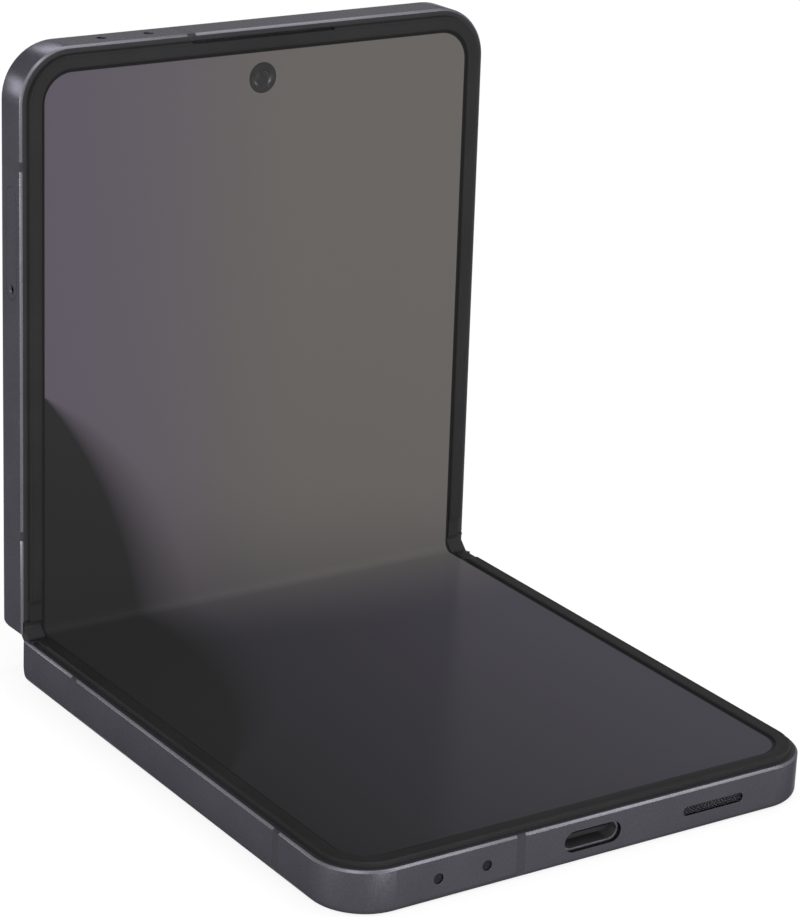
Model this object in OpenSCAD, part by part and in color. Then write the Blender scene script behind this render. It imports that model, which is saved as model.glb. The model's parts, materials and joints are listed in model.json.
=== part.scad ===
// Foldable phone, half open. Two hollow metal halves turn on a spine that has two parallel fold
// axes, so the halves lie flat in one line or close face to face, with the spine as the back edge.
// Millimetres, +Z up. The origin is the middle of the lower half's underside: its free end faces
// -Y, the hinge runs along X at its +Y end, and the upper half stands up there.
//
// Each half is drawn in its own frame: Y runs from the hinge's centre line to the free end, and
// z = 0 is the metal frame's front face, which the display and its bezel stand a little above.
// The spine is drawn as it lies when the phone is flat.

/* [Body] */
// Width across the metal frame
body_w = 75.2; // [74:0.1:77]
// Hinge centre line to the free end of one half
half_l = 83.4; // [82:0.05:86]
// Front face of the metal frame to the back of one half
frame_t = 6.15; // [6:0.05:6.4]
// Radius of the free corners, seen from the front
corner_r = 7.6; // [7:0.1:9]
// Radius of the back edge
back_edge_r = 1; // [0.5:0.1:1.2]
// Chamfer of the front edge
front_chamfer = 0.3; // [0.2:0.05:0.6]

/* [Fold] */
// Angle between the two display faces
open_angle = 91; // [80:1:120]
// Each fold axis to the hinge's centre line
axis_y = 0.43; // [0.4:0.01:0.5]
// Each fold axis above the frame's front face
axis_h = 0.37; // [0.35:0.01:0.45]
// Gap between the halves when flat
seam = 0.1; // [0.08:0.01:0.2]
// Depth of the spine below the frame's front face when flat
spine_depth = 3.0; // [2.95:0.05:3.1]
// Half width of the spine's shell
spine_half_w = 5.4; // [5.2:0.05:5.5]
// Inner radius of the rails that turn in the spine
rail_r_in = 1.85; // [1.8:0.01:1.9]
// Outer radius of the rails
rail_r_out = 2.5; // [2.4:0.01:2.55]
// Running gap between a rail and its groove
rail_gap = 0.08; // [0.05:0.01:0.1]

/* [Display] */
// Height of the display's face over the frame's front face
face_h = 0.4; // [0.3:0.05:0.5]
// Thickness of the folding display with its cushion
display_t = 0.75; // [0.7:0.01:0.9]
// Height of the soft bezel over the frame's front face
bezel_h = 0.75; // [0.6:0.01:0.78]
// Bezel's outer edge to the side of the frame
bezel_outer = 1.0; // [0.9:0.05:1.1]
// Bezel's inner edge to the side of the frame
bezel_inner = 3.0; // [2.8:0.1:3.4]
// Where the raised bezel stops, from the hinge's centre line
bezel_stop = 4.8; // [3.8:0.1:5]
// Bend radius of the display's face at the open angle
bend_r = 1.6; // [1.2:0.1:2.2]
// Where the folding stretch of the display starts
fold_reach = 8; // [7:0.5:9]
// Front camera's centre to the hinge's centre line
punch_y = 76.3; // [75:0.1:77]
// Radius of the front camera's window
punch_r = 2.2; // [1.8:0.1:2.4]

/* [Openings] */
// Width of the charging socket
socket_w = 8.9; // [8.8:0.05:9]
// Height of the charging socket
socket_h = 2.9; // [2.8:0.05:3]
// Outer microphone hole, from the middle
mic_x_outer = 23.7; // [22:0.1:25]
// Inner microphone hole, from the middle
mic_x_inner = 16.4; // [15:0.1:18]
// Radius of a microphone hole
mic_r = 0.72; // [0.5:0.02:0.8]
// Middle of the speaker slot, from the middle
speaker_x = 19.5; // [18:0.1:21]
// Length of the speaker slot
speaker_l = 9.9; // [8:0.1:11]
// Height of the speaker slot
speaker_h = 1.3; // [1:0.1:1.6]
// Half length of the earpiece slot
earpiece_half = 11.5; // [9:0.1:12]
// Width of an antenna band
band_w = 1.35; // [1:0.05:1.6]

/* [Moving parts] */
// Length of the card tray's face
tray_l = 15.8; // [15:0.1:16.5]
// Height of the card tray's face
tray_h = 2.85; // [2.7:0.05:3]
// Middle of the card tray, from the hinge's centre line
tray_y = 56.3; // [54:0.1:58]
// Length of the power key
power_l = 12; // [10:0.5:14]
// Middle of the power key, from the hinge's centre line
power_y = 33; // [31:0.5:34]
// Length of the volume key
volume_l = 20; // [17:0.5:22]
// Middle of the volume key, from the hinge's centre line
volume_y = 53; // [50:0.5:55]
// Height of the side keys
key_h = 2.5; // [2.2:0.1:2.7]
// How far a side key stands out
key_out = 0.35; // [0.2:0.05:0.5]

/* [Rear cameras] */
// Radius of a camera ring
ring_r = 6.6; // [6:0.1:7]
// Height of a camera ring
ring_h = 0.9; // [0.6:0.1:1.2]
// Outer camera, from the middle
camera_x = 26; // [25:0.5:27]
// Distance between the cameras
camera_pitch = 15; // [14.5:0.5:16]
// Cameras to the hinge's centre line
camera_y = 69.4; // [68:0.2:70]

/* [Hidden] */
$fn = 48;
e = 0.01;
half_w = body_w / 2;
hinge_y = half_l / 2;
half_fold = (180 - open_angle) / 2;
end_y = seam / 2;

// Layers below the frame's front face
face_bottom = display_t - face_h;
plate_top = face_bottom + 0.02;
plate_bottom = plate_top + 0.28;
deck_top = plate_bottom + 0.05;
deck_bottom = deck_top + 0.8;
back_top = frame_t - 0.6;
recess_inset = 1.5;
panel_inset = 1.6;
back_inset = 1.25;
back_start = 2.2;
mid_z = 0.12 - frame_t / 2;

// Hinge
cavity_r = frame_t + axis_h - 1.15;
cavity_half = 35.55;
spine_half = 35.4;
shell_t = 0.5;
shell_top = -0.85;
shell_rise = spine_depth + shell_top;
shell_r = (spine_half_w * spine_half_w + shell_rise * shell_rise) / (2 * shell_rise);
shell_cz = shell_r - spine_depth;
arm_top = plate_bottom + 0.04;
arm_t = 0.8;
arm_end = 11.2;
arm_l = 5;
arm_x_upper = 15;
arm_x_lower = 22;
rail_end = 144;
base_top = -0.75;
base_half_w = 3.3;
base_x = 13.5;
base_l = 15;
cap_x = 34.6;
cap_l = 2.65;
cap_half_w = 1.25;
cap_top = 0.66;
cap_bottom = -1;
cap_chamfer = 0.45;
cap_sweep = 1.5;
fold_half = 34.5;
flex_half = 3;

// Bezel
tail_start = 1.95;
tail_h = face_h + 0.06;
skirt_inset = front_chamfer + 0.05;
skirt_h = 0.06;
notch_depth = 0.3;

bay_inset = 2.2;
bay_start = 12.2;
band_depth = 1.2;
band_ys = [14.7, 67.5];
band_x = -11.25;
tray_z = -2.72;
tray_depth = 16;
tray_corner = 1.4;
lip_gap = 0.08;

metal = "#55535a";
band = "#45444a";
soft_black = "#2f2f30";
screen = "#56524f";
steel = "#9a9a9e";
board_green = "#1f3a34";
black = "#18181a";

// ---------------------------------------------------------------- placing

// From a half's own frame to the lower half
module at_lower() {
    translate([0, hinge_y, frame_t]) mirror([0, 1, 0]) children();
}

// From the flat spine to the half-folded spine
module at_spine() {
    translate([0, hinge_y - axis_y, frame_t + axis_h]) rotate([half_fold, 0, 0])
        translate([0, axis_y, -axis_h]) children();
}

// From a half's own frame to the upper half
module at_upper() {
    at_spine() translate([0, axis_y, axis_h]) rotate([half_fold, 0, 0])
        translate([0, -axis_y, -axis_h]) children();
}

// ---------------------------------------------------------------- shared shapes

// Box from two opposite corners, with z counted down from the frame's front face
module layer(x0, x1, y0, y1, top, bottom) {
    translate([x0, y0, -bottom]) cube([x1 - x0, y1 - y0, bottom - top]);
}

// A section in Y and Z, drawn from x0 for a length
module along_x(x0, length) {
    translate([x0, 0, 0]) rotate([90, 0, 90]) linear_extrude(length) children();
}

// A half's outline, drawn in from the sides and the free end, from y0 on
module outline(inset, y0) {
    translate([-(half_w - inset), y0])
        square([2 * (half_w - inset), half_l - corner_r - y0]);
    translate([-(half_w - corner_r), y0])
        square([2 * (half_w - corner_r), half_l - inset - y0]);
    for (side = [-1, 1])
        translate([side * (half_w - corner_r), half_l - corner_r]) circle(corner_r - inset);
}

// The outline as a plate
module plate(inset, y0, top, bottom) {
    translate([0, 0, -bottom]) linear_extrude(bottom - top) outline(inset, y0);
}

// Section of the frame's edge, from the corner's centre out
module edge_section() {
    polygon([[0, 0], [corner_r - front_chamfer, 0], [corner_r, -front_chamfer],
        [corner_r, back_edge_r - frame_t], [corner_r - back_edge_r, back_edge_r - frame_t],
        [corner_r - back_edge_r, -frame_t], [0, -frame_t]]);
    translate([corner_r - back_edge_r, back_edge_r - frame_t]) circle(back_edge_r);
}

// The solid that each frame is cut from
module half_blank() {
    cx = half_w - corner_r;
    cy = half_l - corner_r;
    difference() {
        union() {
            layer(-cx, cx, end_y, cy, 0, frame_t);
            for (side = [0, 1]) mirror([side, 0, 0]) {
                translate([cx, cy, 0]) rotate_extrude(angle = 90) edge_section();
                translate([cx, cy, 0]) rotate([90, 0, 0])
                    linear_extrude(cy - end_y) edge_section();
            }
            translate([-cx, cy, 0]) rotate([90, 0, 90]) linear_extrude(2 * cx) edge_section();
        }
        // Rounded back edge at the hinge
        along_x(-half_w - 1, body_w + 2) difference() {
            translate([end_y - 1, -frame_t - 1]) square(back_edge_r + 1);
            translate([end_y + back_edge_r, back_edge_r - frame_t]) circle(back_edge_r);
        }
    }
}

// Slabs where the antenna bands cross the frame
module band_slabs() {
    for (side = [0, 1], y = band_ys) mirror([side, 0, 0])
        layer(half_w - band_depth, half_w + 1, y - band_w / 2, y + band_w / 2, -1, frame_t + 1);
    layer(band_x - band_w / 2, band_x + band_w / 2, half_l - band_depth, half_l + 1,
        -1, frame_t + 1);
}

// A frame with what both halves share cut out
module half_shell(arm_x) {
    difference() {
        half_blank();
        band_slabs();
        plate(recess_inset, -1, -1, deck_top);
        plate(back_inset, back_start, back_top, frame_t + 1);
        along_x(-cavity_half, 2 * cavity_half) translate([axis_y, axis_h]) circle(cavity_r);
        for (side = [0, 1]) mirror([side, 0, 0]) {
            along_x(cap_x - 0.1, cap_l + 0.2) translate([axis_y, axis_h]) circle(cap_sweep);
            layer(arm_x - 0.05, arm_x + arm_l + 0.05, 4, arm_end + 0.05, 0, arm_top + arm_t);
            for (y = [8.2, 10.2]) translate([arm_x + arm_l / 2, y, -arm_top - 2.4])
                cylinder(h = 2, r = 0.5);
        }
        layer(-flex_half - 0.2, flex_half + 0.2, 5, bay_start + 1, deck_top, 1.6);
    }
}

// A bay cut from the back, inside the frame's outline
module bay(x0, x1, y0, y1) {
    intersection() {
        plate(bay_inset, y0, deck_bottom, back_top + e);
        layer(x0, x1, y0, y1, deck_bottom, back_top + e);
    }
}

// Rounded slot along Y, through X
module side_slot(x0, x1, y, z, length, height) {
    translate([x0, y, z]) rotate([0, 90, 0]) linear_extrude(x1 - x0) {
        translate([-height / 2, -(length - height) / 2]) square([height, length - height]);
        for (end = [-1, 1]) translate([0, end * (length - height) / 2]) circle(height / 2);
    }
}

// Rounded slot along X, through Y
module end_slot(x, y0, y1, z, length, height) {
    translate([x, y1, z]) rotate([90, 0, 0]) linear_extrude(y1 - y0) {
        translate([-(length - height) / 2, -height / 2]) square([length - height, height]);
        for (end = [-1, 1]) translate([end * (length - height) / 2, 0]) circle(height / 2);
    }
}

// Round hole through the free end
module end_hole(x, y0, y1, r) {
    translate([x, y1, mid_z]) rotate([90, 0, 0]) cylinder(h = y1 - y0, r = r);
}

// ---------------------------------------------------------------- parts of both halves

// Raised bezel over the display's edge, with a thin skirt out to the frame's chamfer
module bezel_ring() {
    difference() {
        union() {
            plate(bezel_outer, bezel_stop, -bezel_h + 0.12, 0);
            plate(bezel_outer + 0.12, bezel_stop, -bezel_h, -bezel_h + 0.12);
            plate(bezel_outer + 0.1, tail_start, -tail_h, 0);
            plate(skirt_inset, tail_start, -skirt_h, 0);
        }
        translate([0, 0, -1]) linear_extrude(3) bezel_window();
        plate(panel_inset - 0.04, fold_reach - 0.05, -face_h, 1);
    }
}

// The display as seen inside the bezel
module bezel_window() {
    r = 4.8;
    w = half_w - bezel_inner;
    translate([-w, -1]) square([2 * w, half_l - bezel_inner - r + 1]);
    translate([-w + r, -1]) square([2 * (w - r), half_l - bezel_inner + 1]);
    for (side = [-1, 1]) translate([side * (w - r), half_l - bezel_inner - r]) circle(r);
}

// Rigid stretch of the display
module display_panel() {
    plate(panel_inset, fold_reach, -face_h, face_bottom);
}

// Steel sheet under the display, with a narrower wing beside the spine
module support_plate() {
    plate(panel_inset, bezel_stop, plate_top, plate_bottom);
    layer(-fold_half, fold_half, 0.2, bezel_stop, plate_top, plate_bottom);
}

// Section of a rail and its arm, in Y and Z
module rail_section() {
    difference() {
        union() {
            translate([axis_y, axis_h]) circle(rail_r_out);
            translate([axis_y, -arm_top - arm_t]) square([arm_end - axis_y, arm_t]);
        }
        translate([axis_y, axis_h]) circle(rail_r_in);
        translate([-10, -arm_top]) square([30, 10]);
        translate([axis_y, axis_h]) polygon([[0, 0], [-9, 0],
            [9 * cos(rail_end), -9 * sin(rail_end)]]);
    }
}

// Rail with its arm, bored for two screws
module rail(x) {
    difference() {
        along_x(x, arm_l) rail_section();
        for (y = [8.2, 10.2]) translate([x + arm_l / 2, y, -arm_top - arm_t - 1]) {
            cylinder(h = 3, r = 0.5);
            translate([0, 0, 1 + arm_t - 0.3]) cylinder(h = 2, r = 0.95);
        }
    }
}

// Four screws that hold the rails' arms
module rail_screws(arm_x) {
    for (side = [0, 1], y = [8.2, 10.2]) mirror([side, 0, 0])
        translate([arm_x + arm_l / 2, y, -arm_top - 0.3]) {
            cylinder(h = 0.3, r = 0.95);
            translate([0, 0, -2.1]) cylinder(h = 2.1, r = 0.5);
        }
}

// Pair of long magnets that hold the phone shut
module magnets() {
    for (side = [0, 1]) mirror([side, 0, 0]) layer(33.4, 34.9, 68.5, 73.5, 1.6, 4.6);
}

// ---------------------------------------------------------------- lower half

module lower_frame() color(metal) at_lower() difference() {
    half_shell(arm_x_lower);
    bay(-32, 32, bay_start, 56);
    bay(-half_w, half_w, 57.2, half_l);
    for (x = [mic_x_outer, mic_x_inner]) end_hole(-x, 80, half_l + 1, mic_r);
    end_slot(0, 80, half_l + 1, mid_z, socket_w, socket_h);
    end_slot(speaker_x, 80, half_l + 1, mid_z, speaker_l, speaker_h);
}

module lower_bands() color(band) at_lower() intersection() {
    half_blank();
    band_slabs();
}

module lower_bezel() color(soft_black) at_lower() bezel_ring();

module lower_display() color(screen) at_lower() display_panel();

module lower_plate() color(steel) at_lower() support_plate();

module lower_back_glass() color("#4a494f") at_lower()
    plate(back_inset + 0.03, back_start + 0.03, back_top, frame_t);

module lower_battery() color("#26262a") at_lower()
    layer(-31.4, 31.4, 12.7, 55.5, deck_bottom + 0.05, 4.9);

module charging_coil() color("#a8683a") at_lower() difference() {
    translate([0, 34, -back_top + 0.03]) cylinder(h = 0.35, r = 20);
    translate([0, 34, -back_top]) cylinder(h = 1, r = 10.5);
}

module lower_board() color(board_green) at_lower() difference() {
    intersection() {
        plate(bay_inset + 0.4, 57.8, 2, 2.8);
        layer(-33.2, 33.2, 57.8, 80, 2, 2.8);
    }
    layer(-5, 5, 74.4, 82, 1, 4);
    layer(11.4, 34, 60.9, 82, 1, 4);
    layer(-31.5, -11.5, 59.6, 68.4, 1, 4);
}

module socket_shell() color(steel) at_lower() difference() {
    end_slot(0, 75, half_l - 0.7, mid_z, socket_w, socket_h);
    end_slot(0, 75.4, half_l, mid_z, socket_w - 0.5, socket_h - 0.5);
}

module socket_tongue() color(black) at_lower()
    layer(-3.35, 3.35, 75.4, half_l - 1.5, -mid_z - 0.35, -mid_z + 0.35);

module loudspeaker() color(black) at_lower() difference() {
    layer(12, 31.4, 61.5, 79.6, 1.7, 5.2);
    translate([22, 70, -1.7 - 0.4]) cylinder(h = 1, r = 6);
}

module speaker_mesh() color("#333338") at_lower()
    end_slot(speaker_x, half_l - 1.2, half_l - 0.8, mid_z, speaker_l, speaker_h);

module haptic_motor() color(steel) at_lower() layer(-31, -12, 60, 68, 1.6, 4.8);

module lower_microphones() color(steel) at_lower()
    for (x = [mic_x_outer, mic_x_inner]) layer(-x - 1.4, -x + 1.4, 77.4, 79.6, 2.8, 3.9);

module lower_magnets() color(steel) at_lower() magnets();

module lower_rail_left() color(steel) at_lower() mirror([1, 0, 0]) rail(arm_x_lower);

module lower_rail_right() color(steel) at_lower() rail(arm_x_lower);

module lower_screws() color(steel) at_lower() rail_screws(arm_x_lower);

// ---------------------------------------------------------------- spine

// Section of the spine's shell: a shallow arc between its two rims
module shell_section() {
    difference() {
        translate([0, shell_cz]) circle(shell_r);
        translate([0, shell_cz]) circle(shell_r - shell_t);
        translate([-20, shell_top]) square([40, 40]);
    }
}

// Room inside the shell, below a level
module shell_room(level) {
    difference() {
        translate([0, shell_cz]) circle(shell_r - shell_t);
        translate([-20, level]) square([40, 40]);
    }
}

module spine_shell() color("#4d4c52") at_spine() {
    difference() {
        along_x(-spine_half, 2 * spine_half) shell_section();
        for (side = [0, 1]) mirror([side, 0, 0]) {
            layer(arm_x_upper - 0.1, arm_x_upper + arm_l + 0.1, 2, 6, 0, arm_top + arm_t + 0.1);
            layer(arm_x_lower - 0.1, arm_x_lower + arm_l + 0.1, -6, -2, 0, arm_top + arm_t + 0.1);
        }
    }
    for (side = [0, 1]) mirror([side, 0, 0]) along_x(spine_half - 0.8, 0.8) intersection() {
        shell_room(cap_bottom);
        translate([-3, -4]) square([6, 4 + cap_bottom]);
    }
}

// What one rail and its arm need, cut from the base
module rail_room() {
    difference() {
        translate([axis_y, axis_h]) circle(rail_r_out + rail_gap);
        translate([axis_y, axis_h]) circle(rail_r_in - rail_gap);
    }
    translate([axis_y + 1.7, -arm_top - arm_t - 0.1]) square([5, 5]);
}

module hinge_base() {
    difference() {
        along_x(base_x, base_l) intersection() {
            shell_room(base_top);
            translate([-base_half_w, -4]) square([2 * base_half_w, 4 + base_top]);
        }
        along_x(arm_x_upper - 0.05, arm_l + 0.1) rail_room();
        along_x(arm_x_lower - 0.05, arm_l + 0.1) mirror([1, 0]) rail_room();
    }
}

module hinge_base_left() color("#7d7d82") at_spine() mirror([1, 0, 0]) hinge_base();

module hinge_base_right() color("#7d7d82") at_spine() hinge_base();

// Two short shafts with springs and cams, which hold the fold where it is left
module friction_unit() {
    for (side = [-1, 1]) translate([4.2, side * 1.3, -1.75]) rotate([0, 90, 0]) {
        cylinder(h = 9, r = 0.28);
        cylinder(h = 1, r = 0.55);
        for (i = [0:6]) translate([0, 0, 2 + i * 0.7]) cylinder(h = 0.35, r = 0.5);
        translate([0, 0, 7.4]) cylinder(h = 1.2, r = 0.55);
    }
}

module friction_unit_left() color(steel) at_spine() mirror([1, 0, 0]) friction_unit();

module friction_unit_right() color(steel) at_spine() friction_unit();

// Small cover between the bezels' ends, which fills the gap between the frames
module spine_cap() {
    flat = cap_half_w - cap_chamfer;
    along_x(cap_x, cap_l) polygon([[-flat, cap_bottom], [flat, cap_bottom],
        [cap_half_w, cap_bottom + cap_chamfer], [cap_half_w, cap_top - 0.15],
        [cap_half_w - 0.15, cap_top], [0.15 - cap_half_w, cap_top],
        [-cap_half_w, cap_top - 0.15], [-cap_half_w, cap_bottom + cap_chamfer]]);
}

module spine_cap_left() color(soft_black) at_spine() mirror([1, 0, 0]) spine_cap();

module spine_cap_right() color(soft_black) at_spine() spine_cap();

// A point of the lower half's frame, seen from the spine
function from_half(y, z) = let (dy = y - axis_y, dz = z - axis_h) [
    axis_y + dy * cos(half_fold) - dz * sin(half_fold),
    axis_h + dy * sin(half_fold) + dz * cos(half_fold)];

// Thin strip between two points of a section
module strip(from, to, thickness) {
    run = to - from;
    translate(from) rotate(atan2(run[1], run[0])) translate([0, -thickness / 2])
        square([norm(run), thickness]);
}

module hinge_flex() color("#6b4a22") at_spine() along_x(-flex_half, 2 * flex_half)
    for (side = [0, 1]) mirror([side, 0]) {
        strip([0, -1.6], from_half(5.8, -1.2), 0.12);
        strip(from_half(5.8, -1.2), from_half(11.5, -1.2), 0.12);
    }

// Everything on the open side of the bend, up to the rigid stretches, grown outward by a depth
module bend_side(centre_z, depth) {
    r = bend_r + depth;
    tangent = [r * sin(half_fold), centre_z - r * cos(half_fold)];
    reach = from_half(fold_reach, face_h);
    reach_back = from_half(fold_reach, face_h - depth);
    translate([0, centre_z]) circle(r);
    polygon([tangent, reach_back, reach, [-reach[0], reach[1]], [-reach_back[0], reach_back[1]],
        [-tangent[0], tangent[1]]]);
}

// The display's bend: two flat stretches and an arc between them
module display_fold() color(screen) at_spine() along_x(-fold_half, 2 * fold_half) {
    vertex_z = axis_h - (axis_h - face_h) / cos(half_fold) - axis_y * tan(half_fold);
    centre_z = vertex_z + bend_r / cos(half_fold);
    difference() {
        bend_side(centre_z, display_t);
        bend_side(centre_z, 0);
    }
}

// ---------------------------------------------------------------- upper half

// Long slot of the earpiece, along the bezel's outer side
module earpiece_slot() {
    layer(-earpiece_half, earpiece_half, half_l - bezel_outer - notch_depth,
        half_l - bezel_outer + 0.04, -1, 2.2);
}

module upper_frame() color(metal) at_upper() difference() {
    half_shell(arm_x_upper);
    bay(-32, 32, bay_start, 41);
    bay(-half_w, half_w, 42.4, half_l);
    for (x = [mic_x_outer, mic_x_inner]) end_hole(-x, 80, half_l + 1, mic_r);
    earpiece_slot();
    layer(6, 16, 80.5, half_l - 1.0, 1.6, 2.2);
    translate([0, punch_y, -3]) cylinder(h = 3, r = 3);
    side_slot(-half_w - 1, -35, tray_y, tray_z, tray_l + 0.1, tray_h + 0.1);
    key_room(power_y, power_l);
    key_room(volume_y, volume_l);
    // Pocket of the power key's switch, and the cover display's seat
    layer(33.4, 35.4, power_y - 1.7, power_y + 1.7, 1.8, 4.2);
    layer(-33.1, 33.1, 12.3, 78.1, 4.88, back_top + e);
}

module upper_bands() color(band) at_upper() difference() {
    intersection() {
        half_blank();
        band_slabs();
    }
    earpiece_slot();
}

module upper_bezel() color(soft_black) at_upper() difference() {
    bezel_ring();
    earpiece_slot();
}

module upper_display() color(screen) at_upper() difference() {
    display_panel();
    translate([0, punch_y, -2]) cylinder(h = 4, r = punch_r);
}

module upper_plate() color(steel) at_upper() difference() {
    support_plate();
    translate([0, punch_y, -2]) cylinder(h = 4, r = punch_r + 0.4);
}

module cover_glass() color("#1d1d20") at_upper() difference() {
    plate(back_inset + 0.03, back_start + 0.03, back_top, frame_t);
    for (i = [0, 1]) translate([camera_x - i * camera_pitch, camera_y, -frame_t - 1])
        cylinder(h = 3, r = 5.2);
    translate([-0.5, camera_y, -frame_t - 1]) cylinder(h = 3, r = 2.2);
}

module cover_display() color(black) at_upper() difference() {
    layer(-33, 33, 12.6, 78, 4.92, back_top);
    for (i = [0, 1]) translate([camera_x - i * camera_pitch, camera_y, -6])
        cylinder(h = 3, r = 6);
    translate([-0.5, camera_y, -6]) cylinder(h = 3, r = 2.6);
    layer(30, 34, 66, 79, 4, 6);
    layer(-34, -30, 66, 79, 4, 6);
}

module upper_battery() color("#26262a") at_upper()
    layer(-31.4, 31.4, 12.7, 40.5, deck_bottom + 0.05, 4.85);

module main_board() color(board_green) at_upper() difference() {
    layer(-18, 32.5, 43, 79, 2.9, 3.5);
    layer(-4.2, 4.2, 72, 80, 2, 4);
    layer(4.2, 33, 75.1, 80, 2, 4);
    layer(camera_x - camera_pitch - 5.7, 33, 63.5, 75.2, 2, 4);
    layer(-19, -14.8, 76.8, 80, 2, 4);
    translate([-0.5, camera_y, -4]) cylinder(h = 3, r = 2.5);
}

module shield_can() color(steel) at_upper() {
    layer(-16, 4, 45, 61, 1.7, 2.9);
    layer(7, 27, 45, 61, 1.7, 2.9);
}

module front_camera() color(black) at_upper() {
    layer(-3.6, 3.6, punch_y - 3.6, punch_y + 3.6, deck_bottom + 0.1, 4.6);
    translate([0, punch_y, -deck_bottom - 0.1]) cylinder(h = deck_bottom, r = 1.9);
}

module front_camera_window() color("#101014") at_upper()
    translate([0, punch_y, face_h - 0.34]) cylinder(h = 0.3, r = punch_r);

module receiver() color(black) at_upper() layer(4.6, 18, 75.6, 80.4, 1.7, 4.2);

module earpiece_mesh() color("#333338") at_upper()
    layer(-earpiece_half, earpiece_half, half_l - bezel_outer - notch_depth,
        half_l - bezel_outer, 0.25, 0.5);

module upper_microphone() color(steel) at_upper()
    for (x = [mic_x_outer, mic_x_inner]) layer(-x - 1.4, -x + 1.4, 77, 79.6, 2.3, 3.7);

// Camera body under the cover glass
module camera_body(x) {
    layer(x - 5.5, x + 5.5, camera_y - 5.5, camera_y + 5.5, 1.7, 4.9);
    translate([x, camera_y, -frame_t + 0.02]) cylinder(h = frame_t - 4.92, r = 4.2);
}

module camera_outer() color(black) at_upper() camera_body(camera_x);

module camera_inner() color(black) at_upper() camera_body(camera_x - camera_pitch);

// Metal ring that stands round a camera
module camera_ring(x) {
    translate([x, camera_y, -frame_t]) rotate([180, 0, 0]) difference() {
        union() {
            cylinder(h = ring_h - 0.25, r = ring_r);
            translate([0, 0, ring_h - 0.25]) cylinder(h = 0.25, r1 = ring_r, r2 = ring_r - 0.25);
        }
        translate([0, 0, -1]) cylinder(h = 3, r = ring_r - 1.1);
    }
}

module camera_ring_outer() color(metal) at_upper() camera_ring(camera_x);

module camera_ring_inner() color(metal) at_upper() camera_ring(camera_x - camera_pitch);

module camera_windows() color("#0c0c10") at_upper()
    for (i = [0, 1]) translate([camera_x - i * camera_pitch, camera_y, -frame_t - 0.6])
        cylinder(h = 0.55, r = ring_r - 1.13);

module flash_lens() color("#e8e4d4") at_upper()
    translate([-0.5, camera_y, -frame_t]) cylinder(h = 0.9, r = 2.17);

module card_reader() color(steel) at_upper() difference() {
    layer(-35.2, -18.8, tray_y - 8.2, tray_y + 8.2, 1.6, 4.3);
    layer(-36, -19.2, tray_y - 7.3, tray_y + 7.3, 2.0, 3.9);
}

module key_switches() color(steel) at_upper()
    for (y = [power_y, volume_y - 6, volume_y + 6]) layer(33.6, 35.2, y - 1.5, y + 1.5, 2, 4);

module upper_magnets() color(steel) at_upper() magnets();

module upper_rail_left() color(steel) at_upper() mirror([1, 0, 0]) rail(arm_x_upper);

module upper_rail_right() color(steel) at_upper() rail(arm_x_upper);

module upper_screws() color(steel) at_upper() rail_screws(arm_x_upper);

// ---------------------------------------------------------------- tray and keys

// Tray with a seat for one card and a hole for the eject pin's tip
module card_tray() color(metal) at_upper() {
    difference() {
        side_slot(-half_w, -half_w + 1.1, tray_y, tray_z, tray_l, tray_h);
        translate([-half_w - 1, tray_y - tray_l / 2 + tray_corner, tray_z])
            rotate([0, 90, 0]) cylinder(h = 3, r = 0.45);
    }
    difference() {
        layer(-half_w + 1.1, -half_w + 1.1 + tray_depth, tray_y - 7, tray_y + 7, 2.3, 3.1);
        layer(-35, -23.2, tray_y - 5.2, tray_y + 3.6, 2.2, 2.9);
    }
}

// Opening and inner pocket of a side key
module key_room(y, length) {
    side_slot(35, half_w + 1, y, mid_z, length + 2 * lip_gap, key_h + 2 * lip_gap);
    side_slot(35, 36.2, y, mid_z, length + 1.6, key_h + 0.7);
}

// Side key with the lip that keeps it in
module side_key(y, length) {
    side_slot(35.9, half_w + key_out, y, mid_z, length, key_h);
    side_slot(35.5, 35.95, y, mid_z, length + 1.2, key_h + 0.4);
}

module power_key() color(metal) at_upper() side_key(power_y, power_l);

// The volume key rocks on a small round nib
module volume_key() color(metal) at_upper() {
    side_key(volume_y, volume_l);
    translate([35.5, volume_y, mid_z - 1]) cylinder(h = 2, r = 0.4);
}

lower_frame();
lower_bands();
lower_bezel();
lower_display();
lower_plate();
lower_back_glass();
lower_battery();
charging_coil();
lower_board();
socket_shell();
socket_tongue();
loudspeaker();
speaker_mesh();
haptic_motor();
lower_microphones();
lower_magnets();
lower_rail_left();
lower_rail_right();
lower_screws();
spine_shell();
hinge_base_left();
hinge_base_right();
friction_unit_left();
friction_unit_right();
spine_cap_left();
spine_cap_right();
hinge_flex();
display_fold();
upper_frame();
upper_bands();
upper_bezel();
upper_display();
upper_plate();
cover_glass();
cover_display();
upper_battery();
main_board();
shield_can();
front_camera();
front_camera_window();
receiver();
earpiece_mesh();
upper_microphone();
camera_outer();
camera_inner();
camera_ring_outer();
camera_ring_inner();
camera_windows();
flash_lens();
card_reader();
key_switches();
upper_magnets();
upper_rail_left();
upper_rail_right();
upper_screws();
card_tray();
power_key();
volume_key();
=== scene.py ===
import json
import math

import bmesh
import bpy
from mathutils import Matrix, Vector


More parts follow.
